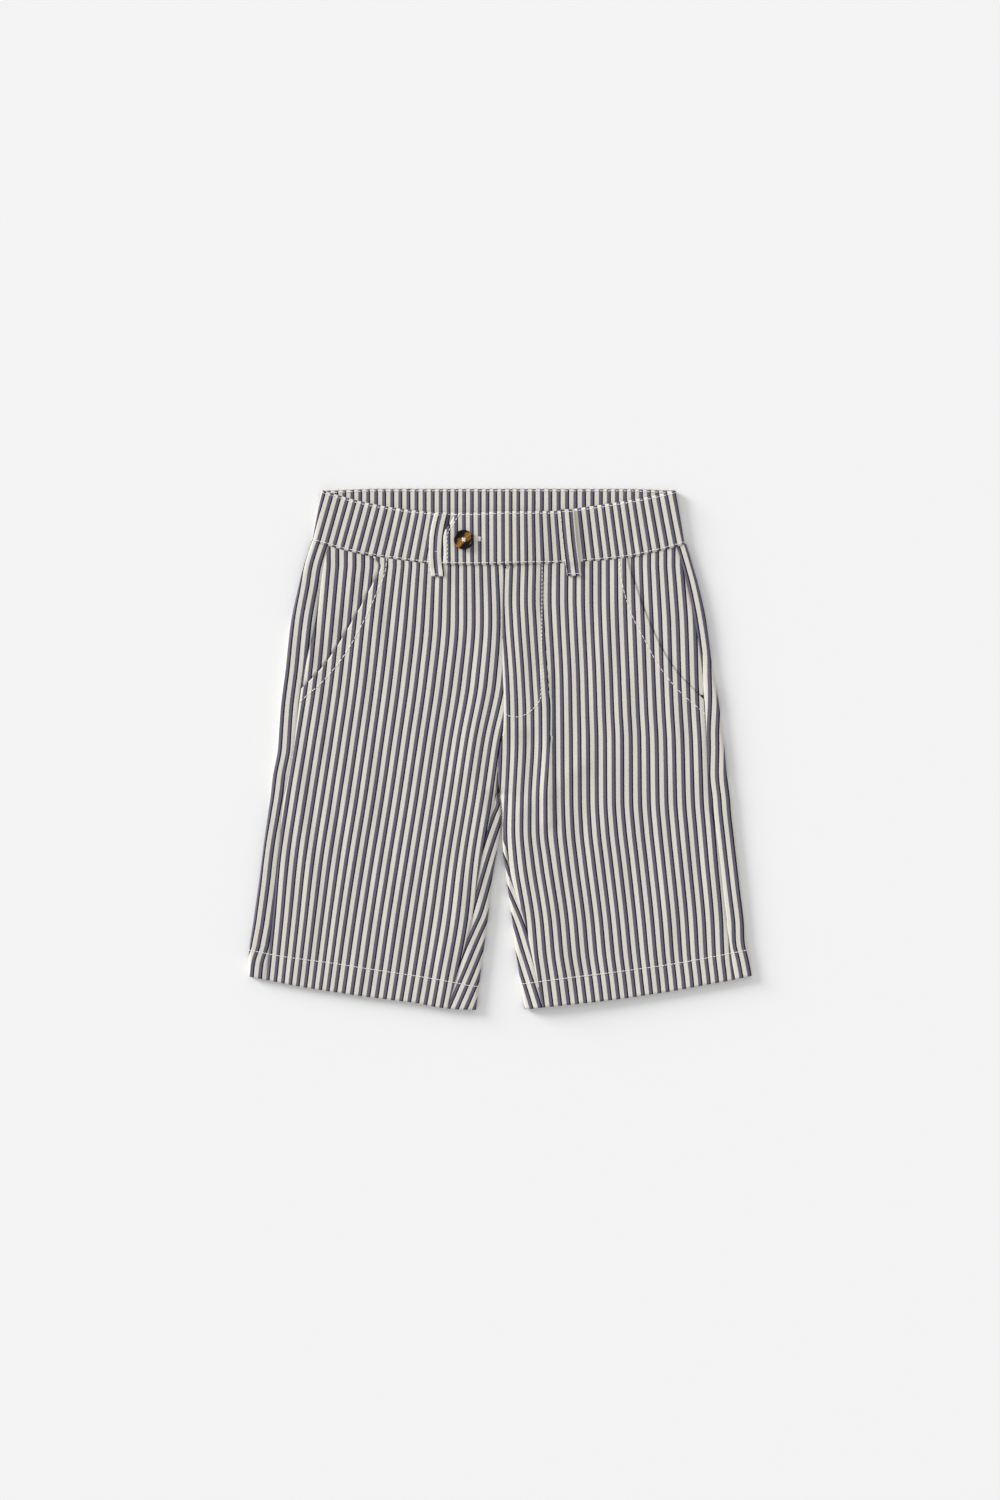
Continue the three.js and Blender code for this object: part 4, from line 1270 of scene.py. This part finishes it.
# Lines of stitches on the fronts: x and y of the points that they run through
FLY_STITCH = [
    (32.0, 142.5), (31.8, 110), (31.4, 70), (31.0, 42), (29.4, 36.5),
    (25.5, 31.8), (19.6, 27.2), (14, 25.0), (8.6, 25.2), (4.2, 27.4),
]
POCKET_STITCH = {
    "right": [
        (-87.6, 146.5), (-88.4, 139.5), (-98.2, 114.3), (-105.5, 98.6), (-120.5, 72.4),
        (-136.7, 52.7), (-153.6, 37.6),
    ],
    "left": [
        (91.4, 146.8), (92.4, 135), (95.2, 121), (102.8, 99.7), (109.7, 86.6), (122.8, 63.1),
        (138.2, 44.3), (152.1, 32.0), (157.0, 27.8),
    ],
}


def build():
    made = {}
    for leg in LEGS.values():
        made[f"front_{leg.name}"] = front_panel(leg)
        made[f"back_{leg.name}"] = back_panel(leg)
        made[f"pocket_facing_{leg.name}"] = pocket_facing(leg)
    made["waistband"] = waistband()
    for name, loop in BELT_LOOPS.items():
        made[name] = belt_loop(name, loop)
    for node, (piece, outer, _) in made.items():
        finish_piece(piece, node, COTTON)
    disc = button()
    finish_piece(disc, "button", HORN)
    return made


made = build()
RIGHT, LEFT = LEGS["right"], LEGS["left"]


def sew():
    _, band, band_n = made["waistband"]
    last = BAND_ROWS - 1
    top, foot = BAND_STITCH_SHARE * last, last - BAND_STITCH_SHARE * last
    inner_face = band - band_n * (BAND_CLOTH + 0.12)
    stitches("band_edge_stitches", [
        on_grid(band, band_n, top), on_grid(band, band_n, foot), on_grid(inner_face, band_n, top, lift=0),
        tab_path(),
    ])
    hems = [made[f"{side}_{leg}"] for side in ("front", "back") for leg in LEGS]
    hem_paths = [hem_path(outer, n) for _, outer, n in hems]
    stitches("hem_stitches", hem_paths, pitch=2.2, length=2.1, thread=0.65)
    stitches("fly_stitches", [on_front(LEFT, FLY_STITCH)])
    stitches(
        "pocket_stitches",
        [on_front(leg, POCKET_STITCH[leg.name]) for leg in LEGS.values()],
        pitch=4.2,
        length=3.7,
    )
    threads("loop_stitches", loop_ends())
    threads("buttonhole", buttonhole(), 0.3)
    threads("button_thread", button_cross(), 0.55)


def tab_path():
    """Line just inside the free end of the tab."""
    down = np.linspace(0.05, 0.95, 30)
    x = tab_end(down) + TAB_STITCH_INSET
    y = mix(front_top(x), front_seam_on_top(x), down)
    return np.stack([x, y, np.full(x.shape, TAB_HEIGHT + BAND_CLOTH / 2 + 0.1)], axis=1)


# How far down the right loop a short stitch crosses half of it
LOOP_TACK = 0.61


def loop_ends():
    """Double rows of thread across the top and foot of each loop."""
    lines = []
    for name, loop in BELT_LOOPS.items():
        outer = made[name][1]
        rows = len(outer) - 1
        for share in (0.035, 0.965):
            row = outer[round(share * rows)]
            half = len(row) // 2
            lines += [(row[1], row[half - 1]), (row[half], row[-2])]
        if name == "belt_loop_right":
            row = outer[round(LOOP_TACK * rows)]
            lines.append((row[len(row) // 2 - 1], row[-2]))
    return lines


BAR_TACK = SimpleNamespace(x=-16.3, y=162.0, width=2.1, height=3.3)
HOLE_END = -33.5


def buttonhole():
    """Bar tack at the free end of the buttonhole, and the overcast lips on both sides of its slit."""
    z = TAB_HEIGHT + BAND_CLOTH / 2 + 0.08
    tack = BAR_TACK
    lines = []
    for y in np.linspace(-tack.height / 2, tack.height / 2, 12):
        lines.append(((tack.x - tack.width / 2, tack.y + y, z), (tack.x + tack.width / 2, tack.y + y, z)))
    for x in np.linspace(HOLE_END, tack.x - tack.width / 2 - 0.2, 44):
        for side in (-1, 1):
            lines.append(((x, tack.y + side * 0.18, z - 0.05), (x, tack.y + side * 1.1, z - 0.05)))
    return lines


def button_cross():
    """Thread between opposite holes of the button, crossing in its middle."""
    z = TAB_HEIGHT + BAND_CLOTH / 2 + LAYER_GAP + BUTTON.thick - BUTTON.dish
    lines = []
    for turn, lift in ((1, 0.15), (-1, 0.5)):
        along = np.array([1, turn, 0]) / math.sqrt(2)
        aside = np.array([-turn, 1, 0]) / math.sqrt(2)
        for shift in (-0.42, 0.0, 0.42):
            middle = np.array([BUTTON.x, BUTTON.y, z + lift]) + aside * shift
            lines.append((middle - along * BUTTON.pitch * 1.1, middle + along * BUTTON.pitch * 1.1))
    return lines


sew()


# Strengths of the light from all round and of the soft light from the upper left
SKY = 0.70
WINDOW = 3.76


def floor_and_light():
    bpy.ops.mesh.primitive_plane_add(size=12, location=(0, 0, -0.0003))
    floor = bpy.context.object
    floor.name = "floor"
    material = bpy.data.materials.new("pale_floor")
    material.use_nodes = True
    shader = material.node_tree.nodes["Principled BSDF"]
    shader.inputs["Base Color"].default_value = (0.86, 0.86, 0.86, 1)
    shader.inputs["Roughness"].default_value = 0.9
    floor.data.materials.append(material)
    world = bpy.data.worlds.new("studio")
    world.use_nodes = True
    world.node_tree.nodes["Background"].inputs[0].default_value = (1, 1, 1, 1)
    world.node_tree.nodes["Background"].inputs[1].default_value = SKY
    bpy.context.scene.world = world
    lamp = bpy.data.lights.new("window", "SUN")
    lamp.energy = WINDOW
    lamp.angle = math.radians(25)
    key = bpy.data.objects.new("window", lamp)
    elevation, heading = math.radians(16.5), math.radians(150)
    towards = Vector((
        math.cos(elevation) * math.cos(heading), math.cos(elevation) * math.sin(heading), math.sin(elevation)
    ))
    key.rotation_euler = towards.to_track_quat("Z", "Y").to_euler()
    bpy.context.scene.collection.objects.link(key)


floor_and_light()

# The photograph looks straight down: its long side covers this height on the surface
VIEW_HEIGHT = 1155 * MM
VIEW_MIDDLE = (-0.5, -0.4)
lens, sensor = 100.0, 36.0
camera = bpy.data.cameras.new("camera")
camera.lens = lens
camera.sensor_width = sensor
eye = bpy.data.objects.new("camera", camera)
eye.location = (VIEW_MIDDLE[0] * MM, VIEW_MIDDLE[1] * MM, VIEW_HEIGHT * lens / sensor + FRONT_HEIGHT * MM)
bpy.context.scene.collection.objects.link(eye)
bpy.context.scene.camera = eye
bpy.context.scene.view_settings.view_transform = "Standard"
